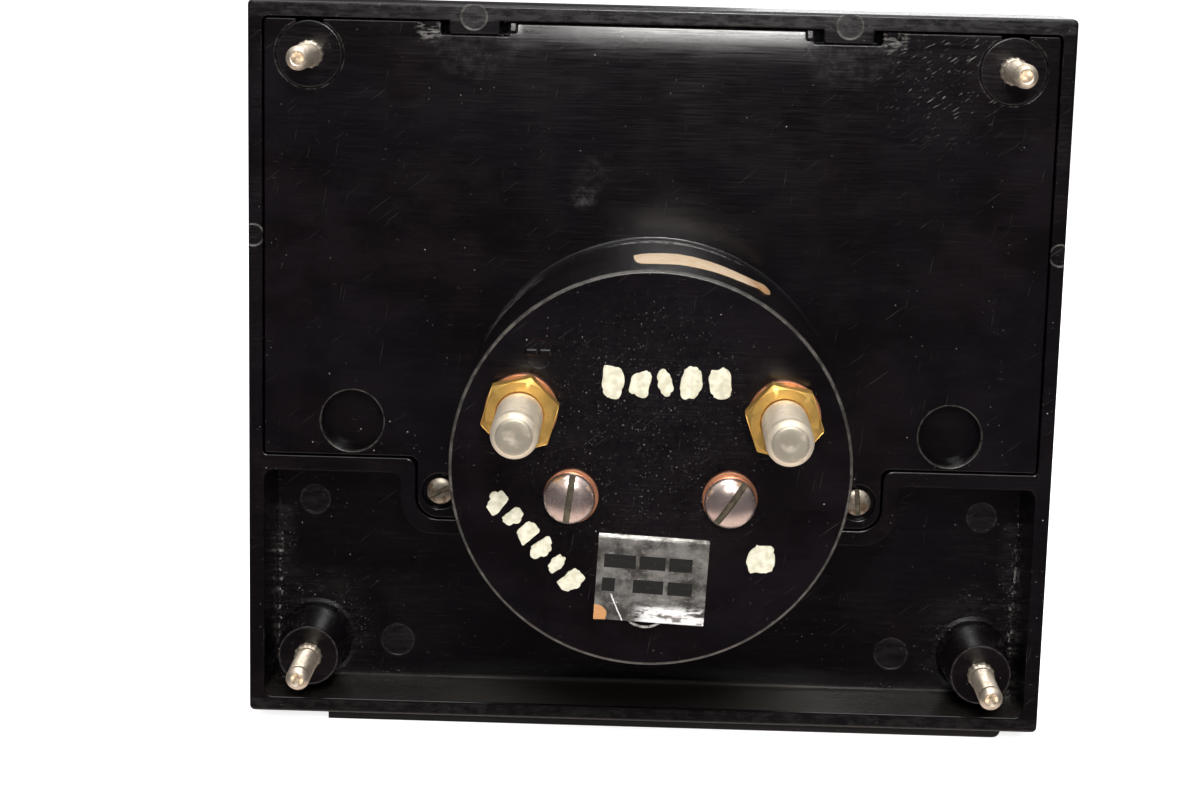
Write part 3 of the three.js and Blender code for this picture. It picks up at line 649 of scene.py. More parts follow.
def paint(name, first, second, roughness=0.5, foot=None):
    """Thick brushed paint with a grainy, slightly dirty surface; foot tints it below a height."""
    look = Look(name)
    tone = look.cloudy(1.1, 4, 0.35, 0.65)
    colour = look.mix(tone, first, second)
    colour = look.mix(look.times(look.specks(0.8, 0.25, 0.1), 0.5), colour, (0.25, 0.2, 0.14))
    if foot:
        below = look.times(look.fade(look.z, foot - 1.6, foot), look.ramp(tone, 0, 1, 0.5, 0.9))
        colour = look.mix(below, colour, (0.40, 0.19, 0.06))
    gloss = look.cloudy(0.8, 3, 0.3, 0.7, roughness - 0.12, roughness + 0.12)
    look.set(Base_Color=colour, Roughness=gloss, Normal=look.bump(look.noise(0.5, 4), 0.03, 0.7))
    return look.material


def foil(name):
    """Crinkled foil, scuffed, with two rows of plain printed bars, one peeled corner, and painted
    highlights on the crumpled lower part and the crease.
    """
    look = Look(name)
    times, most, mix = look.times, look.most, look.mix
    sheet = look.add("Mapping", {"vector_type": "TEXTURE"}, {
        "Vector": look.place, "Location": centre("foil_label") * MM,
        "Rotation": (0, math.radians(LABEL_TURN), 0)}).outputs[0]
    left, _, up = look.split(sheet)
    bars = most(*[
        times(look.under(look.away(left, x), width / 2), look.under(look.away(up, z), height / 2))
        for x, z, width, height in LABEL_BARS])
    wrinkle = look.noise((3.2, 3.2, 1.1), 5, turn=(0, 14, 0), rough=0.6)
    fine = look.noise(0.4)

    crumpled = times(look.fade(up, -4.4, -3.3), look.fade(left, 0.2, 3.4),
                     look.cloudy((2.6, 2.6, 0.8), 5, 0.42, 0.5, rough=0.7))
    slant = look.math("SUBTRACT", left, times(up, 0.47))
    slant = look.plus(slant, times(wrinkle, 0.5 * MM))
    crease = times(look.fade(look.away(slant, 6.83), 0.05, 0.14), look.fade(up, -2.6, -2.2))
    # painted highlight: the crumpled lower part and the crease are painted near-white and less
    # metallic
    painted_crumple_highlight = most(crumpled, crease)
    corner = look.plus(look.distance(7.3, -5.5, left, up), times(wrinkle, 0.9 * MM))
    peeled = look.fade(corner, 1.8, 2.0)

    tone = look.cloudy(3.5, 4, 0.34, 0.62, rough=0.65)
    colour = mix(tone, (0.13, 0.12, 0.11), (0.50, 0.48, 0.45))
    scuff = look.cloudy((1.1, 1.1, 0.5), 4, 0.56, 0.66, rough=0.7)
    for mask, tint in (
        (times(scuff, 0.6), (0.72, 0.71, 0.69)),
        (times(bars, look.ramp(fine, 0.26, 0.36, 0.8, 1.0)), (0.004, 0.0035, 0.003)),
        # painted highlight on the crumple and crease
        (times(painted_crumple_highlight, 0.85), (0.92, 0.91, 0.90)),
        (peeled, (0.46, 0.215, 0.075)),
    ):
        colour = mix(mask, colour, tint)
    gloss = look.ramp(wrinkle, 0.3, 0.7, 0.26, 0.42)
    gloss = look.plus(gloss, times(most(times(bars, 2), peeled, painted_crumple_highlight), 0.2))
    normal = look.bump(fine, 0.012, 0.6, look.bump(wrinkle, 0.12, 0.9))
    metallic = look.math("SUBTRACT", 0.85, times(most(bars, peeled, times(painted_crumple_highlight, 0.6)), 0.8))
    look.set(Base_Color=colour, Roughness=gloss, Normal=normal, Metallic=metallic)
    return look.material


def clear(name):
    """Clear window with faint swirls of polish."""
    look = Look(name)
    swirl = look.noise((4, 4, 0.3))
    look.set(Base_Color=(0.97, 0.98, 0.98), Transmission_Weight=1.0, IOR=1.49)
    look.set(Roughness=look.ramp(swirl, 0.4, 0.7, 0.01, 0.05), Normal=look.bump(swirl, 0.001, 0.5))
    return look.material


def white_enamel(name):
    look = Look(name)
    tone = look.cloudy(6, 4, 0.3, 0.7)
    look.set(Base_Color=look.mix(tone, (0.80, 0.78, 0.70), (0.86, 0.84, 0.77)))
    look.set(Roughness=look.cloudy(0.6, 3, 0.3, 0.7, 0.4, 0.55))
    look.set(Normal=look.bump(look.noise(0.2, 2), 0.004, 0.5))
    return look.material


PLATE_LOOK = phenolic("phenolic_plate", (8, 0.25, 0.16), (0.13, 0.25), 0.3, plate_detail)
COVER_LOOK = phenolic("phenolic_cover", (6, 0.9, 0.4), (0.15, 0.28), 0.42, cover_detail)
NICKEL = metal("nickel", (0.80, 0.69, 0.56), (0.50, 0.41, 0.30), (0.28, 0.44), metallic=0.9)
NICKEL_DULL = metal(
    "nickel_dull", (0.84, 0.73, 0.58), (0.62, 0.52, 0.40), (0.38, 0.52), metallic=0.74,
    end=(TERMINAL_TIP - 0.22, (0.43, 0.385, 0.31)))
BRASS = metal(
    "brass", (0.74, 0.46, 0.13), (0.54, 0.30, 0.08), (0.34, 0.48), (0.5, 0.75), metallic=0.9)
COPPER = metal(
    "copper", (0.66, 0.30, 0.17), (0.36, 0.15, 0.08), (0.28, 0.44), (0.5, 0.75), metallic=0.9)
SCREW_STEEL = metal(
    "screw_steel", (0.88, 0.72, 0.66), (0.62, 0.44, 0.39), (0.2, 0.28), (0.5, 0.8), 2.2,
    metallic=0.94)
RUSTY = metal(
    "rusty_steel", (0.54, 0.49, 0.40), (0.25, 0.18, 0.12), (0.32, 0.5), (0.46, 0.62), 0.3)
SLOT_DIRT = paint("slot_dirt", (0.05, 0.040, 0.023), (0.12, 0.095, 0.06), 0.75)
CREAM = paint("cream_paint", (0.66, 0.63, 0.50), (0.50, 0.47, 0.35))
PEACH = paint("peach_paint", (0.78, 0.62, 0.46), (0.70, 0.50, 0.31), foot=25.4)
FOIL = foil("label_foil")
IRON = metal("soft_iron", (0.30, 0.30, 0.31), (0.16, 0.13, 0.11), (0.4, 0.6))
MAGNET = metal("magnet_alloy", (0.22, 0.22, 0.23), (0.13, 0.11, 0.10), (0.45, 0.7))
SHUNT = metal("shunt_alloy", (0.52, 0.46, 0.40), (0.33, 0.25, 0.19), (0.3, 0.5))
BRONZE = metal("spring_bronze", (0.70, 0.46, 0.24), (0.45, 0.26, 0.12), (0.25, 0.4))
BLACK_FINISH = paint("black_finish", (0.015, 0.015, 0.016), (0.025, 0.025, 0.026), 0.4)
ENAMEL = white_enamel("scale_white")
GLASS = clear("window_clear")


# ------------------------------------------------------------------ front cover


def rect(low_x, high_x, low_z, high_z, low_corner, high_corner):
    return rounded([
        (low_x, low_z, low_corner), (high_x, low_z, low_corner),
        (high_x, high_z, high_corner), (low_x, high_z, high_corner),
    ])


def cover_outline():
    half = [(HALF_WIDTH, COVER_BOTTOM, 0.8), (HALF_WIDTH, COVER_TOP, 0.8)]
    return rounded(mirrored(half))


def cavity_outline():
    """Inner face of the cover round the base: plate, ears and barrel."""
    grown = BARREL_R + GAP
    dip = EAR_BOTTOM - GAP
    turn = math.degrees(math.asin(-dip / grown))
    foot, *bottom = arc(0, 0, grown, -90, -turn, 16)
    half = bottom + [
        (EAR_HALF + GAP, dip, EAR_CORNER + GAP), (EAR_HALF + GAP, PLATE_BOTTOM - GAP, 1.5),
        (PLATE_HALF + GAP, PLATE_BOTTOM - GAP, 0.8), (PLATE_HALF + GAP, PLATE_TOP + GAP, 0.8),
    ]
    return rounded([foot] + mirrored(half))


def recess_outline():
    """Lower recess: between the rim and the wall round the base."""
    grow = GAP + WALL
    radius = BARREL_R + grow
    dip = EAR_BOTTOM - grow
    turn = math.degrees(math.asin(-dip / radius))
    side = HALF_WIDTH - RIM
    half = [
        (side, COVER_BOTTOM + RIM, 1.3), (side, PLATE_BOTTOM - grow, 1.3),
        (EAR_HALF + grow, PLATE_BOTTOM - grow, 1.3), (EAR_HALF + grow, dip, 5.3),
    ] + arc(0, 0, radius, -turn, -88, 20)
    return rounded(mirrored(half))


def cover_rear_layer():
    draft = [  # foot fillet on the floor, draft, rounded top edge
        (-1.05, FLOOR_Y), (-0.72, FLOOR_Y + 0.1), (-0.55, FLOOR_Y + 0.4), (-0.5, FLOOR_Y + 0.8),
        (0, -0.3), (0.04, -0.12), (0.12, -0.04), (0.3, 0),
    ]
    return prism([cover_outline(), cavity_outline(), recess_outline()],
                 [plain(FLOOR_Y, 0, 0, 0.45), plain(FLOOR_Y, 0, 0, 0.22), draft])


def cover_mask_layer():
    half = PLATE_HALF + GAP
    pane = rect(-half, half, PANE_BOTTOM, PLATE_TOP + GAP, 0.8, 0.8)
    hole = circle(0, centre("zero_adjuster").z, ADJUSTER_HOLE_R)
    return prism([cover_outline(), pane, hole],
                 [plain(MASK_Y, FLOOR_Y), plain(MASK_Y, FLOOR_Y), plain(MASK_Y, FLOOR_Y, 0.2)])


def cover_front_layer():
    window = rect(-WINDOW_HALF, WINDOW_HALF, WINDOW_BOTTOM, WINDOW_TOP, 3, 14)
    mask = rect(-MASK_HALF, MASK_HALF, COVER_BOTTOM + 3.6, MASK_TOP, 1.5, 1.5)
    return prism([cover_outline(), window, mask],
                 [plain(FRONT_Y, MASK_Y, edge) for edge in (0.9, 0.7, 0.5)])


def upper_boss(side):
    low, high = -12.5, 0.1
    edge = [(BOSS_TOP_R - inward, y) for inward, y in plain(low, high, 0, 0.22)]
    return turned([(0, low), *edge, (0, high)], side * STUD_X, STUD_TOP_Z, 64)


def lower_boss(side):
    return turned([
        (0, FLOOR_Y - 0.5), (6.4, FLOOR_Y - 0.5), (6.35, FLOOR_Y + 0.02), (5.75, FLOOR_Y + 0.2),
        (5.4, FLOOR_Y + 0.75), (BOSS_R, -0.35), (BOSS_R - 0.05, -0.14),
        (BOSS_R - 0.15, -0.04), (BOSS_R - 0.35, 0), (0, 0),
    ], side * STUD_X, STUD_LOW_Z, 64)


def cover_tab(side):
    ends = sorted((side * TAB_MIN, side * TAB_MAX))
    return prism([rect(*ends, TAB_BOTTOM, PLATE_TOP + 1, 0.5, 0)], [plain(-3, 0, 0, 0.25)])


def cover_ledge():
    left, right, top = -55, 48.4, COVER_BOTTOM + 0.4
    outline = rounded([
        (left, LEDGE_BOTTOM, 1.2), (right, LEDGE_BOTTOM, 0.15), (right, top, 0), (left, top, 0)])
    return prism([outline], [plain(-5, -1.6, 0.3, 0.3)])


def disc_cut(x, z, radius, depth, surface):
    """Tool for a shallow round ejector mark."""
    floor = surface - depth
    return turned([
        (0, floor), (radius - 0.12, floor), (radius, floor + 0.08), (radius + 0.05, surface),
        (radius + 0.05, surface + 1), (0, surface + 1),
    ], x, z, 40)


def make_cover():
    cover = to_object("cover_moulding", cover_rear_layer())
    combine(cover, "UNION", [
        cover_mask_layer(), cover_front_layer(), cover_ledge(),
        *[build(side) for build in (upper_boss, lower_boss, cover_tab) for side in SIDES],
    ])
    combine(cover, "DIFFERENCE", [
        disc_cut(side * x, z, radius, depth, surface)
        for side in SIDES
        for places, depth, surface in ((FLOOR_MARKS, 0.16, FLOOR_Y), (RIM_MARKS, 0.14, 0))
        for x, z, radius, _ in places])
    refine(cover, clean)
    finish_piece(cover, "case", COVER_LOOK, ["front_cover"])


# ------------------------------------------------------------------ base with the barrel


def plate_outline():
    """Rear plate: ears below, and along its top the two notches and the two stud openings."""
    radius = BOSS_TOP_R + BOSS_GAP
    mouth = 2.0
    lean = math.degrees(math.acos(mouth / radius))
    half = [
        (EAR_HALF, EAR_BOTTOM, EAR_CORNER), (EAR_HALF, PLATE_BOTTOM, 1.2),
        (PLATE_HALF, PLATE_BOTTOM, 0.5), (PLATE_HALF, PLATE_TOP, 0.5),
        (STUD_X + mouth, PLATE_TOP, 0.12),
        *arc(STUD_X, STUD_TOP_Z, radius, lean, -180 - lean, 44),
        (STUD_X - mouth, PLATE_TOP, 0.12),
        (NOTCH_MAX, PLATE_TOP, 0.3), (NOTCH_MAX, NOTCH_BOTTOM, 0.5),
        (NOTCH_MIN, NOTCH_BOTTOM, 0.5), (NOTCH_MIN, PLATE_TOP, 0.3),
    ]
    return rounded(mirrored(half))


def plate_layer():
    loops = [plate_outline()]
    levels = [plain(-PLATE_THICK, 0, 0, 0.2)]
    for side in SIDES:
        loops.append(circle(side * BLIND_X, BLIND_Z, BLIND_R, 56))
        levels.append(plain(-PLATE_THICK, 0, 0, 0.25))
        loops.append(circle(side * EAR_SCREW.x, EAR_SCREW.z, EAR_HOLE_R))
        levels.append(plain(-PLATE_THICK, 0, 0, 0.2))
    return prism(loops, levels)


def plug(x, z, radius, top):
    """Floor of a blind hole."""
    low = -PLATE_THICK
    return turned([(0, low), (radius, low), (radius, top), (0, top)], x, z, 40)


def barrel():
    """Barrel without its bore: small fillet at the root, slight taper, rounded end."""
    root, taper_from = 0.35, 1.2
    fillet = [
        (BARREL_R + root * (1 - math.sin(a)), root * (1 - math.cos(a)))
        for a in (math.radians(d) for d in range(0, 91, 18))
    ]
    end = [(FACE_R - inward, y) for inward, y in plain(taper_from, FACE_Y, 0, 0.5)[1:]]
    return turned([
        (0, -PLATE_THICK), (BARREL_R + root, -PLATE_THICK), (BARREL_R + root, -0.05),
        *fillet, (BARREL_R, taper_from), *end, (0, FACE_Y)], sides=BARREL_SIDES)


def bore():
    """Tool for the inside of the barrel, open to the dial side."""
    inner, low, end = BARREL_R - BARREL_WALL, -PLATE_THICK - 1, FACE_Y - 3
    return turned([(0, low), (inner, low), (inner, end), (0, end)], sides=BARREL_SIDES)


def shoulder(side, at, reach, deep):
    """Tool for the sloping shoulder at one end of a notch."""
    ends = sorted((side * at, side * (at + reach)))
    outline = rect(*ends, NOTCH_BOTTOM + 0.3, PLATE_TOP + 1.5, 0.6, 0)
    return prism([outline], [[(deep, -deep), (0, 0.05), (0, 1)]])


def roll_off(bm):
    """The polished top of the plate falls away between the notches."""
    start, drop, edge = 53.4, 0.42, 25
    for z in (start, 54.0, 54.7, 55.4, 56.1, 56.7, 57.3, 57.9, 58.4):
        everything = bm.verts[:] + bm.edges[:] + bm.faces[:]
        bmesh.ops.bisect_plane(
            bm, geom=everything, plane_co=(0, 0, z * MM), plane_no=(0, 0, 1), dist=1e-7)
    for x in (-24.0, -22.0, -20.0, 20.0, 22.0, 24.0):
        faces = [f for f in bm.faces if f.calc_center_median().z > start * MM]
        edges = {e for f in faces for e in f.edges}
        verts = {v for f in faces for v in f.verts}
        bmesh.ops.bisect_plane(
            bm, geom=[*verts, *edges, *faces], plane_co=(x * MM, 0, 0), plane_no=(1, 0, 0),
            dist=1e-7)
    for vert in bm.verts:
        x, y, z = vert.co / MM
        if z > start and y > -0.9 and abs(x) < edge:
            side = min(1.0, max(0.0, (edge - abs(x)) / 5))
            vert.co.y -= drop * side * ((z - start) / (PLATE_TOP - start)) ** 2 * MM


def make_base():
    base = to_object("base_moulding", plate_layer())
    plugs = []
    for side in SIDES:
        plugs.append(plug(side * BLIND_X, BLIND_Z, BLIND_R + 0.3, -BLIND_DEPTH))
        plugs.append(plug(side * EAR_SCREW.x, EAR_SCREW.z, 3.1, -1.2))
    combine(base, "UNION", [barrel(), *plugs])
    combine(base, "DIFFERENCE", [
        bore(),
        *[shoulder(side, NOTCH_MAX - 0.3, 3.4, 0.9) for side in SIDES],
        *[shoulder(side, NOTCH_MIN - 1.3, 1.6, 0.5) for side in SIDES],
        disc_cut(0.2, -18.8, 3.35, 0.12, FACE_Y), disc_cut(15.6, 15.8, 2.0, 0.08, FACE_Y),
    ])
    refine(base, clean)
    refine(base, roll_off)
    finish_piece(base, "case", PLATE_LOOK, ["base"])


# ------------------------------------------------------------------ threads, nuts, screws


def thread_profile(radius, pitch, depth, low, high, steps=6):
    """Points of a helical thread, fading out at both ends."""
    count = int((high - low) / pitch * steps)
    points = []
    for index in range(count + 1):
        y = low + (high - low) * index / count
        fade = max(0.0, min(1.0, (y - low) / pitch, (high - y) / pitch))

        def point(angle, y=y, fade=fade):
            phase = (y / pitch + angle / (2 * math.pi)) % 1.0
            groove = max(0.0, 1 - abs(phase - 0.5) / 0.4)
            return radius - depth * fade * groove, y
        points.append(point)
    return points


def mounting_stud(x, z):
    """#6-32 stud: serrated collar at its root, thread, coned tip."""
    radius, pitch, tip = 1.75, 0.794, STUD_TIP

    def collar(y, size):
        return lambda angle: (size + 0.13 * (0.5 + 0.5 * math.cos(14 * angle)) ** 2, y)

    return turned([
        (0, -0.5), collar(-0.5, 1.98), collar(0.75, 1.98), collar(1.0, 1.85),
        (1.62, 1.25), (1.62, 1.6), *thread_profile(radius, pitch, 0.3, 1.7, tip - 0.75),
        (radius - 0.08, tip - 0.62), (radius - 0.3, tip - 0.3), (radius - 0.5, tip - 0.1),
        (radius - 0.68, tip), (radius - 0.82, tip - 0.04), (radius - 1.0, tip - 0.3),
        (radius - 1.3, tip - 0.7), (0.12, tip - 1.0), (0, tip - 1.0),
    ], x, z, 56)


def terminal_stud(x, z):
    """1/4-28 stud with a rounded end and a small centre dimple."""
    radius, pitch, tip, low = 3.175, 0.907, TERMINAL_TIP, FACE_Y - 1
    return turned([
        (0, low), (radius - 0.3, low),
        *thread_profile(radius, pitch, 0.18, low + 0.2, tip - 1.35),
        (radius - 0.03, tip - 1.1), (radius - 0.16, tip - 0.8), (radius - 0.45, tip - 0.42),
        (radius - 0.8, tip - 0.14), (radius - 0.98, tip - 0.03), (radius - 1.08, tip),
        (1.2, tip - 0.03), (0.75, tip - 0.06), (0.3, tip - 0.16), (0, tip - 0.18),
    ], x, z, 64)


def nut(x, z, low, high, turn):
    """Hexagon nut with chamfered corners and a countersunk bore."""
    apothem, bore_r = NUT_FLATS / 2, NUT_BORE_R
    flat_radius = apothem * 0.97
    slope = math.tan(math.radians(28))

    def side(y, direction, inward):
        def point(angle):
            around = (angle + math.radians(turn)) % (math.pi / 3)
            radius = apothem / math.cos(around - math.pi / 6) - inward
            return radius, y - direction * (max(0.0, radius - flat_radius) * slope + inward * 0.6)
        return point

    return turned([
        (bore_r, low + 0.4), (bore_r, high - 0.4), (bore_r + 0.4, high), (flat_radius, high),
        side(high, 1, 0.1), side(high, 1, 0), side(low, -1, 0), side(low, -1, 0.1),
        (flat_radius, low), (bore_r + 0.4, low),
    ], x, z, 144, ring=True)


def washer(x, z, inner, outer, low, high):
    edge = 0.15
    return turned([
        (inner, low), (outer - edge, low), (outer, low + edge), (outer, high - edge),
        (outer - edge * 0.3, high - edge * 0.3), (outer - edge * 1.5, high), (inner, high),
    ], x, z, 64, ring=True)


def slotted_screw(node, head, seat, top, slot, turn, material):
    """Screw with a domed head and a dirty driver slot of (width, depth)."""
    at = centre(node)
    width, depth = slot
    reach = head * 1.3
    rise, dome = top - seat, 0.35
    profile = [(0, seat - 1), (head * 0.4, seat - 1), (head * 0.4, seat), (head - 0.15, seat),
               (head, seat + 0.15), (head, seat + rise * dome)]
    for degrees in range(9, 91, 9):
        angle = math.radians(degrees)
        radius = head * math.cos(angle) ** 0.8 if degrees < 90 else 0
        profile.append((radius, seat + rise * (dome + (1 - dome) * math.sin(angle))))
    screw = to_object(node + "_detail", turned(profile, at.x, at.z, 64))
    screw.data.materials.append(material)
    combine(screw, "DIFFERENCE", [lambda bm: box(
        bm, (at.x - width / 2, top - depth, at.z - reach),
        (at.x + width / 2, top + 1, at.z + reach), turn, (at.x, at.z))], SLOT_DIRT)
    finish_piece(screw, "case", material, [node])


# turns of nuts and driver slots in degrees, and how far the loose washers lie off their screws
NUT_TURN = {"left": 48.7, "right": 14.4}
BARREL_SLOT_TURN = {"left": -34, "right": -7}
EAR_SLOT_TURN = {"left": 4, "right": -62}
WASHER_SHIFT = {"left": (0.02, 0.3), "right": (-0.2, 0.06)}
NUT_FLATS, NUT_BORE_R = 9.525, 3.0
TERMINAL_WASHER, SCREW_WASHER = (3.0, 5.0), (1.9, 3.8)
SCREW_SEAT = FACE_Y + 0.75
BARREL_HEAD_R, BARREL_SLOT = 3.55, (0.9, 1.15)
EAR_HEAD_R, EAR_SEAT, EAR_TOP, EAR_SLOT = 2.05, -0.6, 0.25, (0.75, 0.6)


def detail_of(node, build, material, weighted=True):
    """A finer piece in place of a fixed CAD node."""
    add_piece(node + "_detail", build, material, [node], weighted)


def make_hardware():
    for name, side in (("left", -1), ("right", 1)):
        for row, z in (("top", STUD_TOP_Z), ("bottom", STUD_LOW_Z)):
            detail_of(f"mounting_stud_{row}_{name}", mounting_stud(side * STUD_X, z),
                      NICKEL)
        at = centre(f"terminal_stud_{name}")
        low, high = span(f"terminal_nut_{name}")
        washer_top = span(f"terminal_washer_{name}")[1].y + 0.1
        detail_of(f"terminal_stud_{name}", terminal_stud(at.x, at.z), NICKEL_DULL)
        detail_of(f"terminal_nut_{name}", nut(at.x, at.z, low.y, high.y, NUT_TURN[name]),
                  BRASS, weighted=False)
        detail_of(f"terminal_washer_{name}",
                  washer(at.x - 0.1, at.z + 0.16, *TERMINAL_WASHER, FACE_Y, washer_top),
                  COPPER)

        screw = f"barrel_screw_{name}"
        at, (right, up) = centre(screw), WASHER_SHIFT[name]
        slotted_screw(screw, BARREL_HEAD_R, SCREW_SEAT, span(screw)[1].y, BARREL_SLOT,
                      BARREL_SLOT_TURN[name], SCREW_STEEL)
        detail_of(f"barrel_screw_washer_{name}",
                  washer(at.x + right, at.z + up, *SCREW_WASHER, FACE_Y, SCREW_SEAT),
                  COPPER)
        slotted_screw(f"ear_screw_{name}", EAR_HEAD_R, EAR_SEAT, EAR_TOP, EAR_SLOT,
                      EAR_SLOT_TURN[name], RUSTY)


# ------------------------------------------------------------------ label and paint on the barrel


def blob(x, z, width, height, turn, seed, steps=40):
    """Irregular lumpy outline, as a dab of thick paint leaves."""
    lean = math.radians(turn)
    points = []
    for step in range(steps):
        angle = 2 * math.pi * step / steps
        across, up = math.cos(angle), math.sin(angle)
        wobble = 1 + 0.3 * noise.noise(Vector((across * 1.1, up * 1.1, seed * 7.3)))
        wobble += 0.12 * noise.noise(Vector((across * 3.5, up * 3.5, seed * 3.1 + 40)))
        px = math.copysign(abs(across) ** 0.7, across) * width / 2 * wobble
        pz = math.copysign(abs(up) ** 0.7, up) * height / 2 * wobble
        points.append(Vector((
            x + px * math.cos(lean) + pz * math.sin(lean),
            z - px * math.sin(lean) + pz * math.cos(lean),
        )))
    return points


DABS = (
    # x, z, width, height, turn: a row of five
    (5.5, 12.2, 2.9, 4.3, 4), (1.7, 12.1, 2.6, 3.9, -9), (-1.6, 12.3, 1.7, 3.3, 14),
    (-5.2, 12.4, 2.9, 4.4, -6), (-9.1, 12.4, 2.8, 4.2, 7),
    # six down a diagonal
    (21.0, -5.0, 2.2, 3.3, -38), (18.8, -7.0, 1.7, 2.8, -50), (16.7, -9.1, 2.1, 3.2, -40),
    (14.7, -11.3, 2.0, 3.2, -52), (12.6, -13.4, 1.6, 2.9, -38), (10.5, -15.8, 2.3, 3.5, -60),
    # one on its own
    (-15.6, -12.0, 3.4, 4.3, -8),
)


def paint_dabs(bm):
    levels = [
        (0, FACE_Y - 0.05), (-0.02, FACE_Y + 0.05), (0.07, FACE_Y + 0.12), (0.22, FACE_Y + 0.16)]
    for index, (x, z, width, height, turn) in enumerate(DABS):
        outline = blob(x, z, width, height, turn, index)
        extrude(bm, [outline], [levels])
        for bump in range(3):
            drift_x, drift_z = (
                noise.noise(Vector((index * 3.7, bump * 5.1, level))) for level in (0.5, 9.5))
            lump_x, lump_z = x + drift_x * width * 0.55, z + drift_z * height * 0.45
            lathe(bm, [(0, FACE_Y - 0.05), (0.75, FACE_Y - 0.05), (0.72, FACE_Y + 0.1),
                       (0.5, FACE_Y + 0.2), (0, FACE_Y + 0.24)], lump_x, lump_z, 18)


STROKE = (
    # degrees from the top towards the image's right, low y, high y
    (-6.4, 17.2, 19.2), (-6.1, 16.9, 21.6), (-5.4, 16.6, 24.2), (-4.4, 16.1, 25.3),
    (-2.2, 15.7, 25.8), (2.0, 15.0, 25.6), (6.5, 14.5, 25.0), (11.0, 14.5, 24.6),
    (15.3, 14.7, 24.1), (20.0, 15.0, 23.6), (24.0, 14.8, 22.9), (27.5, 14.2, 21.6),
    (30.0, 13.4, 20.3), (31.4, 12.6, 19.2), (32.6, 11.6, 19.5), (34.0, 11.3, 19.6),
    (35.0, 11.9, 18.4), (35.7, 13.2, 16.4),
)


def shell(bm, top, low):
    """Closed solid between two grids of points, in millimetres."""
    sheets = [[[bm.verts.new(Vector(p) * MM) for p in row] for row in grid] for grid in (top, low)]
    rows, columns = len(top), len(top[0])
    made = []
    for r in range(rows - 1):
        for c in range(columns - 1):
            for s in sheets:
                made.append(bm.faces.new((s[r][c], s[r][c + 1], s[r + 1][c + 1], s[r + 1][c])))
    rim = ([(0, c) for c in range(columns - 1)] + [(r, columns - 1) for r in range(rows - 1)]
           + [(rows - 1, c) for c in range(columns - 1, 0, -1)]
           + [(r, 0) for r in range(rows - 1, 0, -1)])
    upper, lower = sheets
    for (r, c), (s, d) in zip(rim, rim[1:] + rim[:1]):
        made.append(bm.faces.new((upper[r][c], lower[r][c], lower[s][d], upper[s][d])))
    bmesh.ops.recalc_face_normals(bm, faces=made)


def paint_stroke(bm):
    """A brush stroke on the upper side of the barrel, tapering to a small blob."""
    columns = 9
    top = []
    for degrees, low, high in STROKE:
        thick = 0.09 + 0.16 * math.exp(-((degrees - 33.8) / 1.3) ** 2)
        row = []
        for column in range(columns):
            share = column / (columns - 1)
            y = low + (high - low) * share
            crown = 0.03 + thick * math.sin(math.pi * share) ** 0.5
            wobble = noise.noise(Vector((degrees * 0.23, share * 2.0, 3.1)))
            angle = math.radians(90 + degrees + wobble * 0.25)
            radius = BARREL_R + (FACE_R - BARREL_R) * y / FACE_Y + crown
            row.append((radius * math.cos(angle), y + wobble * 0.3, radius * math.sin(angle)))
        top.append(row)
    inner = (BARREL_R - 0.3) / BARREL_R
    shell(bm, top, [[(x * inner, y, z * inner) for x, y, z in row] for row in top])


def label_lift(u, v):
    """Height of the label above its lowest level: crumpled low down, with turned edges."""
    low = math.exp(-((v - 0.14 - 0.03 * math.sin(7 * u)) / 0.055) ** 2)
    crumple = low * max(0.0, min(1.0, (u - 0.32) * 5)) * 0.16
    crumple *= 0.6 + 0.8 * noise.noise(Vector((u * 12, v * 22, 4.2)))
    crease = 0.10 * math.exp(-((u * 0.5 + v - 0.30) / 0.012) ** 2) * max(0, 1 - abs(u - 0.2) * 6)
    ripple = 0.05 * noise.noise(Vector((u * 5, v * 4, 1.7)))
    corner = 0.3 * max(0, 1 - u * 8 - v * 5)
    top = -0.16 * max(0.0, (v - 0.95) / 0.05)
    side = -0.08 * max(0.0, (u - 0.965) / 0.035)
    return 0.17 + crumple + crease + ripple + corner + top + side


def label_sheet(bm):
    """Foil label, 0.06 mm thick."""
    at = centre("foil_label")
    turn = math.radians(LABEL_TURN)
    columns, rows = 92, 74
    top = []
    for row in range(rows + 1):
        line = []
        for column in range(columns + 1):
            u, v = column / columns, row / rows
            px, pz = (0.5 - u) * LABEL_WIDTH, (v - 0.5) * LABEL_HEIGHT
            x = at.x + px * math.cos(turn) + pz * math.sin(turn)
            z = at.z - px * math.sin(turn) + pz * math.cos(turn)
            line.append((x, FACE_Y + 0.03 + label_lift(u, v), z))
        top.append(line)
    shell(bm, top, [[(x, y - 0.06, z) for x, y, z in line] for line in top])


def face_marks(bm):
    """Raised polarity bar beside one terminal, with a small break."""
    for low, high in ((13.95, 15.55), (15.8, 17.4)):
        outline = rect(low, high, 15.55, 16.5, 0.2, 0.2)
        extrude(bm, [outline], [[(0, FACE_Y - 0.3), (0.02, FACE_Y + 0.06), (0.2, FACE_Y + 0.2)]])


def make_face_details():
    add_piece("label_detail", label_sheet, FOIL, ["foil_label"], weighted=False)
    add_piece("paint_dabs", paint_dabs, CREAM)
    add_piece("paint_stroke", paint_stroke, PEACH, weighted=False)
    add_piece("face_marks", face_marks, PLATE_LOOK)


# ------------------------------------------------------------------ dial side


# the scale's radius, half angle and divisions, its numbers, and the cut-out round the movement
SCALE_R, SCALE_SPREAD, SCALE_DIVISIONS = 38.5, 45, 50
NUMBER_R, NUMBER_SIZE = 45, 4.6
HUB_R = 11.5


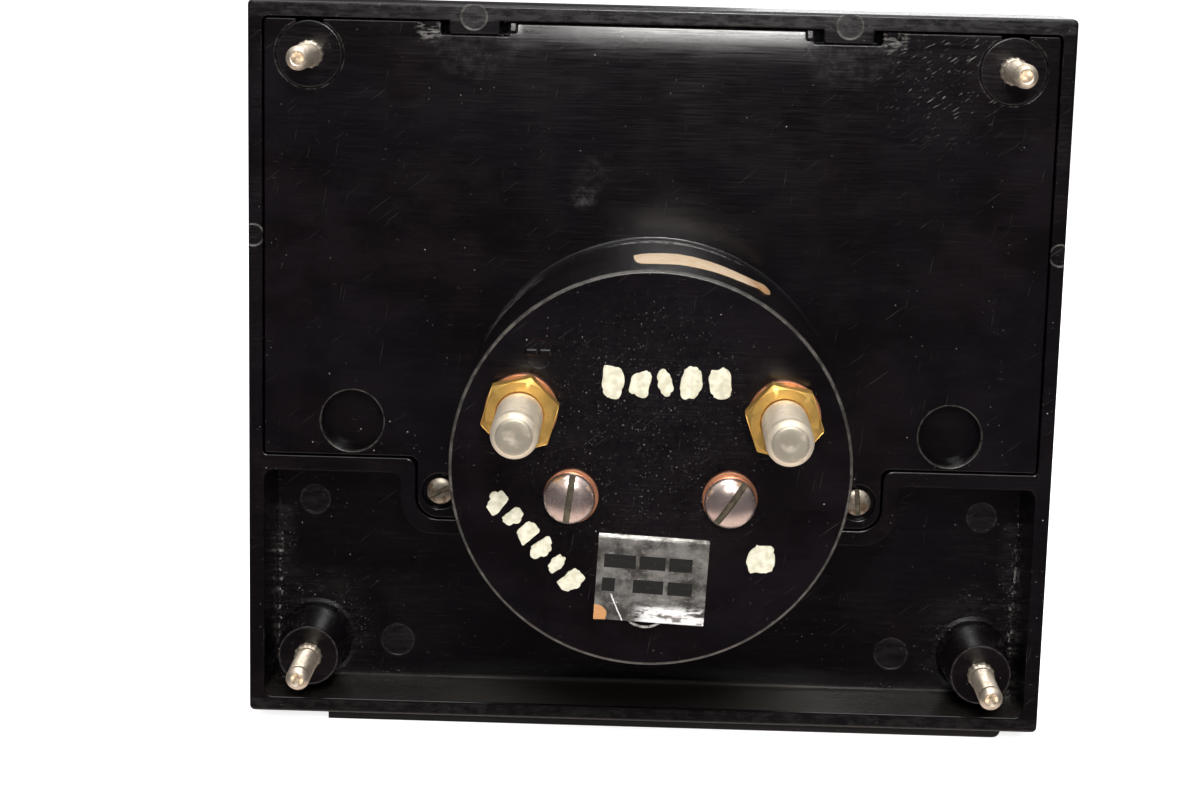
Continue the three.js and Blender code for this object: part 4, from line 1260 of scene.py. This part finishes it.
def dial_outline(low_z):
    half = PLATE_HALF - 3.1
    top = 56.8
    radius = BOSS_TOP_R + GAP
    start = math.degrees(math.asin((top - STUD_TOP_Z) / radius))
    end = math.degrees(math.acos((half - STUD_X) / radius))
    corners = [(half, low_z, 0.4)]
    corners += arc(STUD_X, STUD_TOP_Z, radius, -end, -180 - start, 24)
    return rounded(mirrored(corners))


def scale_marks(bm):
    """Scale line and ticks, a little proud of the dial plate."""
    low, high = SCALE_LOW.y - 0.04, SCALE_LOW.y + 0.02
    for step in range(SCALE_DIVISIONS + 1):
        angle = -SCALE_SPREAD + 2 * SCALE_SPREAD * step / SCALE_DIVISIONS
        length = 3.2 if step % 10 == 0 else 2.4 if step % 5 == 0 else 1.5
        wide = 0.22 if step % 10 == 0 else 0.13
        box(bm, (-wide, low, SCALE_R), (wide, high, SCALE_R + length), angle)
    start, end = 44.6, 135.4
    outer = arc(0, 0, SCALE_R + 0.2, start, end, 60)
    inner = arc(0, 0, SCALE_R - 0.2, end, start, 60)
    extrude(bm, [rounded(outer + inner)], [plain(low, high)])


def scale_numbers(bm):
    """Generic numbers 0 to 50 over the scale."""
    for index in range(6):
        curve = bpy.data.curves.new("number", "FONT")
        curve.body = str(index * 10)
        curve.size = NUMBER_SIZE * MM
        curve.align_x = curve.align_y = "CENTER"
        curve.extrude = 0.02 * MM
        text = link("number", curve)
        angle = math.radians(-SCALE_SPREAD + 2 * SCALE_SPREAD * index / 5)
        at = Vector((NUMBER_R * math.sin(angle), SCALE_LOW.y - 0.02, NUMBER_R * math.cos(angle)))
        text.matrix_world = (
            Matrix.Translation(at * MM) @ Matrix.Rotation(angle, 4, "Y")
            @ Matrix.Rotation(math.radians(90), 4, "X"))
        bpy.context.view_layer.update()
        shown = text.evaluated_get(bpy.context.evaluated_depsgraph_get())
        mesh = bpy.data.meshes.new_from_object(shown)
        mesh.transform(text.matrix_world)
        bm.from_mesh(mesh)
        bpy.data.objects.remove(text)


def make_dial_side():
    pane = prism([dial_outline(WINDOW_LOW.z)], [plain(WINDOW_LOW.y, WINDOW_HIGH.y, 0.15, 0.15)])
    window = add_piece("window_pane", pane, GLASS, ["window"])
    window.visible_shadow = False
    hub = rounded(arc(0, 0, HUB_R, -15, 195, 30))
    sheet = prism([dial_outline(SCALE_LOW.z), hub], [plain(SCALE_LOW.y, SCALE_HIGH.y, 0.08)] * 2)
    add_piece("scale_sheet", sheet, ENAMEL, ["scale_plate"])
    add_piece("scale_marks", scale_marks, BLACK_FINISH, weighted=False)
    add_piece("scale_numbers", scale_numbers, BLACK_FINISH, weighted=False)


def make_adjuster():
    z = centre("adjuster_clip").z

    def body(bm):
        lathe(bm, [
            (0, -8.9), (2.7, -8.9), (2.7, -13.0), (3.85, -13.0), (4.0, -13.15), (4.0, -14.0),
            (3.9, -14.25), (3.65, -14.4), (0, -14.4),
        ], 0, z, 64)
        pin = [(0, -9.2), (0.6, -9.2), (0.6, -4.3), (0.4, -4.1), (0, -4.1)]
        lathe(bm, pin, 0, z - 1.6, 24)

    adjuster = to_object("zero_adjuster_detail", body)
    adjuster.data.materials.append(BLACK_FINISH)
    combine(adjuster, "DIFFERENCE", [
        lambda bm: box(bm, (-5, -16, z - 0.5), (5, -13.6, z + 0.5))])
    finish_piece(adjuster, "zero_adjuster", BLACK_FINISH, ["zero_adjuster"])


# ------------------------------------------------------------------ carried-over CAD nodes


SLOT_LOOKS = {
    "phenolic": COVER_LOOK, "nickel_steel": NICKEL, "brass": BRASS, "copper": COPPER,
    "screw_steel": SCREW_STEEL, "soft_iron": IRON, "magnet_alloy": MAGNET, "label_foil": FOIL,
    "scale_white": ENAMEL, "black_finish": BLACK_FINISH, "shunt_alloy": SHUNT,
    "window_glass": GLASS, "spring_bronze": BRONZE,
}


def dress_cad_nodes():
    slots = {part["node"]: part["material_slot"] for part in frame["record"]["subparts"]}
    for name, node in frame["nodes"].items():
        node.data.materials.clear()
        node.data.materials.append(SLOT_LOOKS[slots[name]])


# ------------------------------------------------------------------ floor, light, camera


FLOOR_HALF = 12.0
CAMERA_PLACE = (1.89, 362.64, 73.8)
CAMERA_FORWARD = (0.0156, -0.9816, -0.1902)
CAMERA_UP = (0.0274, -0.1898, 0.9814)
LENS, SENSOR_WIDTH = 74.16, 36
# height on the world's sphere, and the light that comes from it
WORLD_STOPS = (
    (0.0, (0.80, 0.68, 0.62)), (0.16, (0.62, 0.52, 0.47)), (0.30, (0.05, 0.042, 0.045)),
    (0.60, (0.034, 0.029, 0.033)), (0.72, (0.14, 0.14, 0.145)), (0.86, (0.6, 0.6, 0.6)),
    (1.0, (0.9, 0.89, 0.87)),
)
# name, place and size in metres, watts, colour
LIGHTS = (
    ("key", (-0.018, 0.33, 0.185), (0.07, 0.13), 0.9, (1, 0.985, 0.96)),
    ("overhead", (0, 0.15, 0.75), (0.7, 0.6), 2.6, (1, 1, 1)),
    ("dial_side", (-0.25, -0.7, 0.35), (0.5, 0.5), 2.0, (1, 1, 1)),
)


def make_floor():
    mesh = bpy.data.meshes.new("floor")
    size, z = FLOOR_HALF, (LEDGE_BOTTOM - 0.02) * MM
    corners = [(-size, -size, z), (size, -size, z), (size, size, z), (-size, size, z)]
    mesh.from_pydata(corners, [], [(0, 1, 2, 3)])
    floor = link("floor", mesh)
    look = Look("floor")
    tone = look.noise(400, 2)
    look.set(Base_Color=look.mix(tone, (0.88, 0.88, 0.88), (0.9, 0.9, 0.9)), Roughness=0.9)
    look.set(Emission_Color=(1, 1, 1), Emission_Strength=0.85)
    mesh.materials.append(look.material)
    floor.visible_glossy = False


def make_world():
    world = bpy.data.worlds.new("studio")
    bpy.context.scene.world = world
    world.use_nodes = True
    nodes = Nodes(world.node_tree)
    height = nodes.split(nodes.add("TexCoord").outputs["Generated"])[2]
    share = nodes.add("MapRange", None, {"Value": height, "From Min": -1}).outputs[0]
    ramp = nodes.add("ValToRGB", None, {0: share})
    elements = ramp.color_ramp.elements
    while len(elements) < len(WORLD_STOPS):
        elements.new(0.5)
    for element, (place, value) in zip(elements, WORLD_STOPS):
        element.position = place
        element.color = (*value, 1)
    camera_ray = nodes.add("LightPath").outputs["Is Camera Ray"]
    seen = nodes.mix(camera_ray, ramp.outputs[0], (1, 1, 1))
    nodes.put(world.node_tree.nodes["Background"].inputs["Color"], seen)


def make_lights():
    for name, place, size, watts, colour in LIGHTS:
        data = bpy.data.lights.new(name, "AREA")
        data.shape = "RECTANGLE"
        data.size, data.size_y = size
        data.energy = watts
        data.color = colour
        turn = (-Vector(place)).to_track_quat("-Z", "Y").to_matrix().to_4x4()
        link(name, data).matrix_world = Matrix.Translation(place) @ turn


def make_camera():
    data = bpy.data.cameras.new("camera")
    data.lens, data.sensor_width = LENS, SENSOR_WIDTH
    data.clip_start, data.clip_end = 0.01, 50
    camera = link("camera", data)
    forward = Vector(CAMERA_FORWARD).normalized()
    right = forward.cross(Vector(CAMERA_UP)).normalized()
    rotation = Matrix((right, right.cross(forward), -forward)).transposed().to_4x4()
    camera.matrix_world = Matrix.Translation(Vector(CAMERA_PLACE) * MM) @ rotation
    bpy.context.scene.camera = camera


make_cover()
make_base()
make_hardware()
make_face_details()
make_dial_side()
make_adjuster()
dress_cad_nodes()
make_floor()
make_world()
make_lights()
make_camera()
bpy.context.scene.view_settings.view_transform = "Standard"
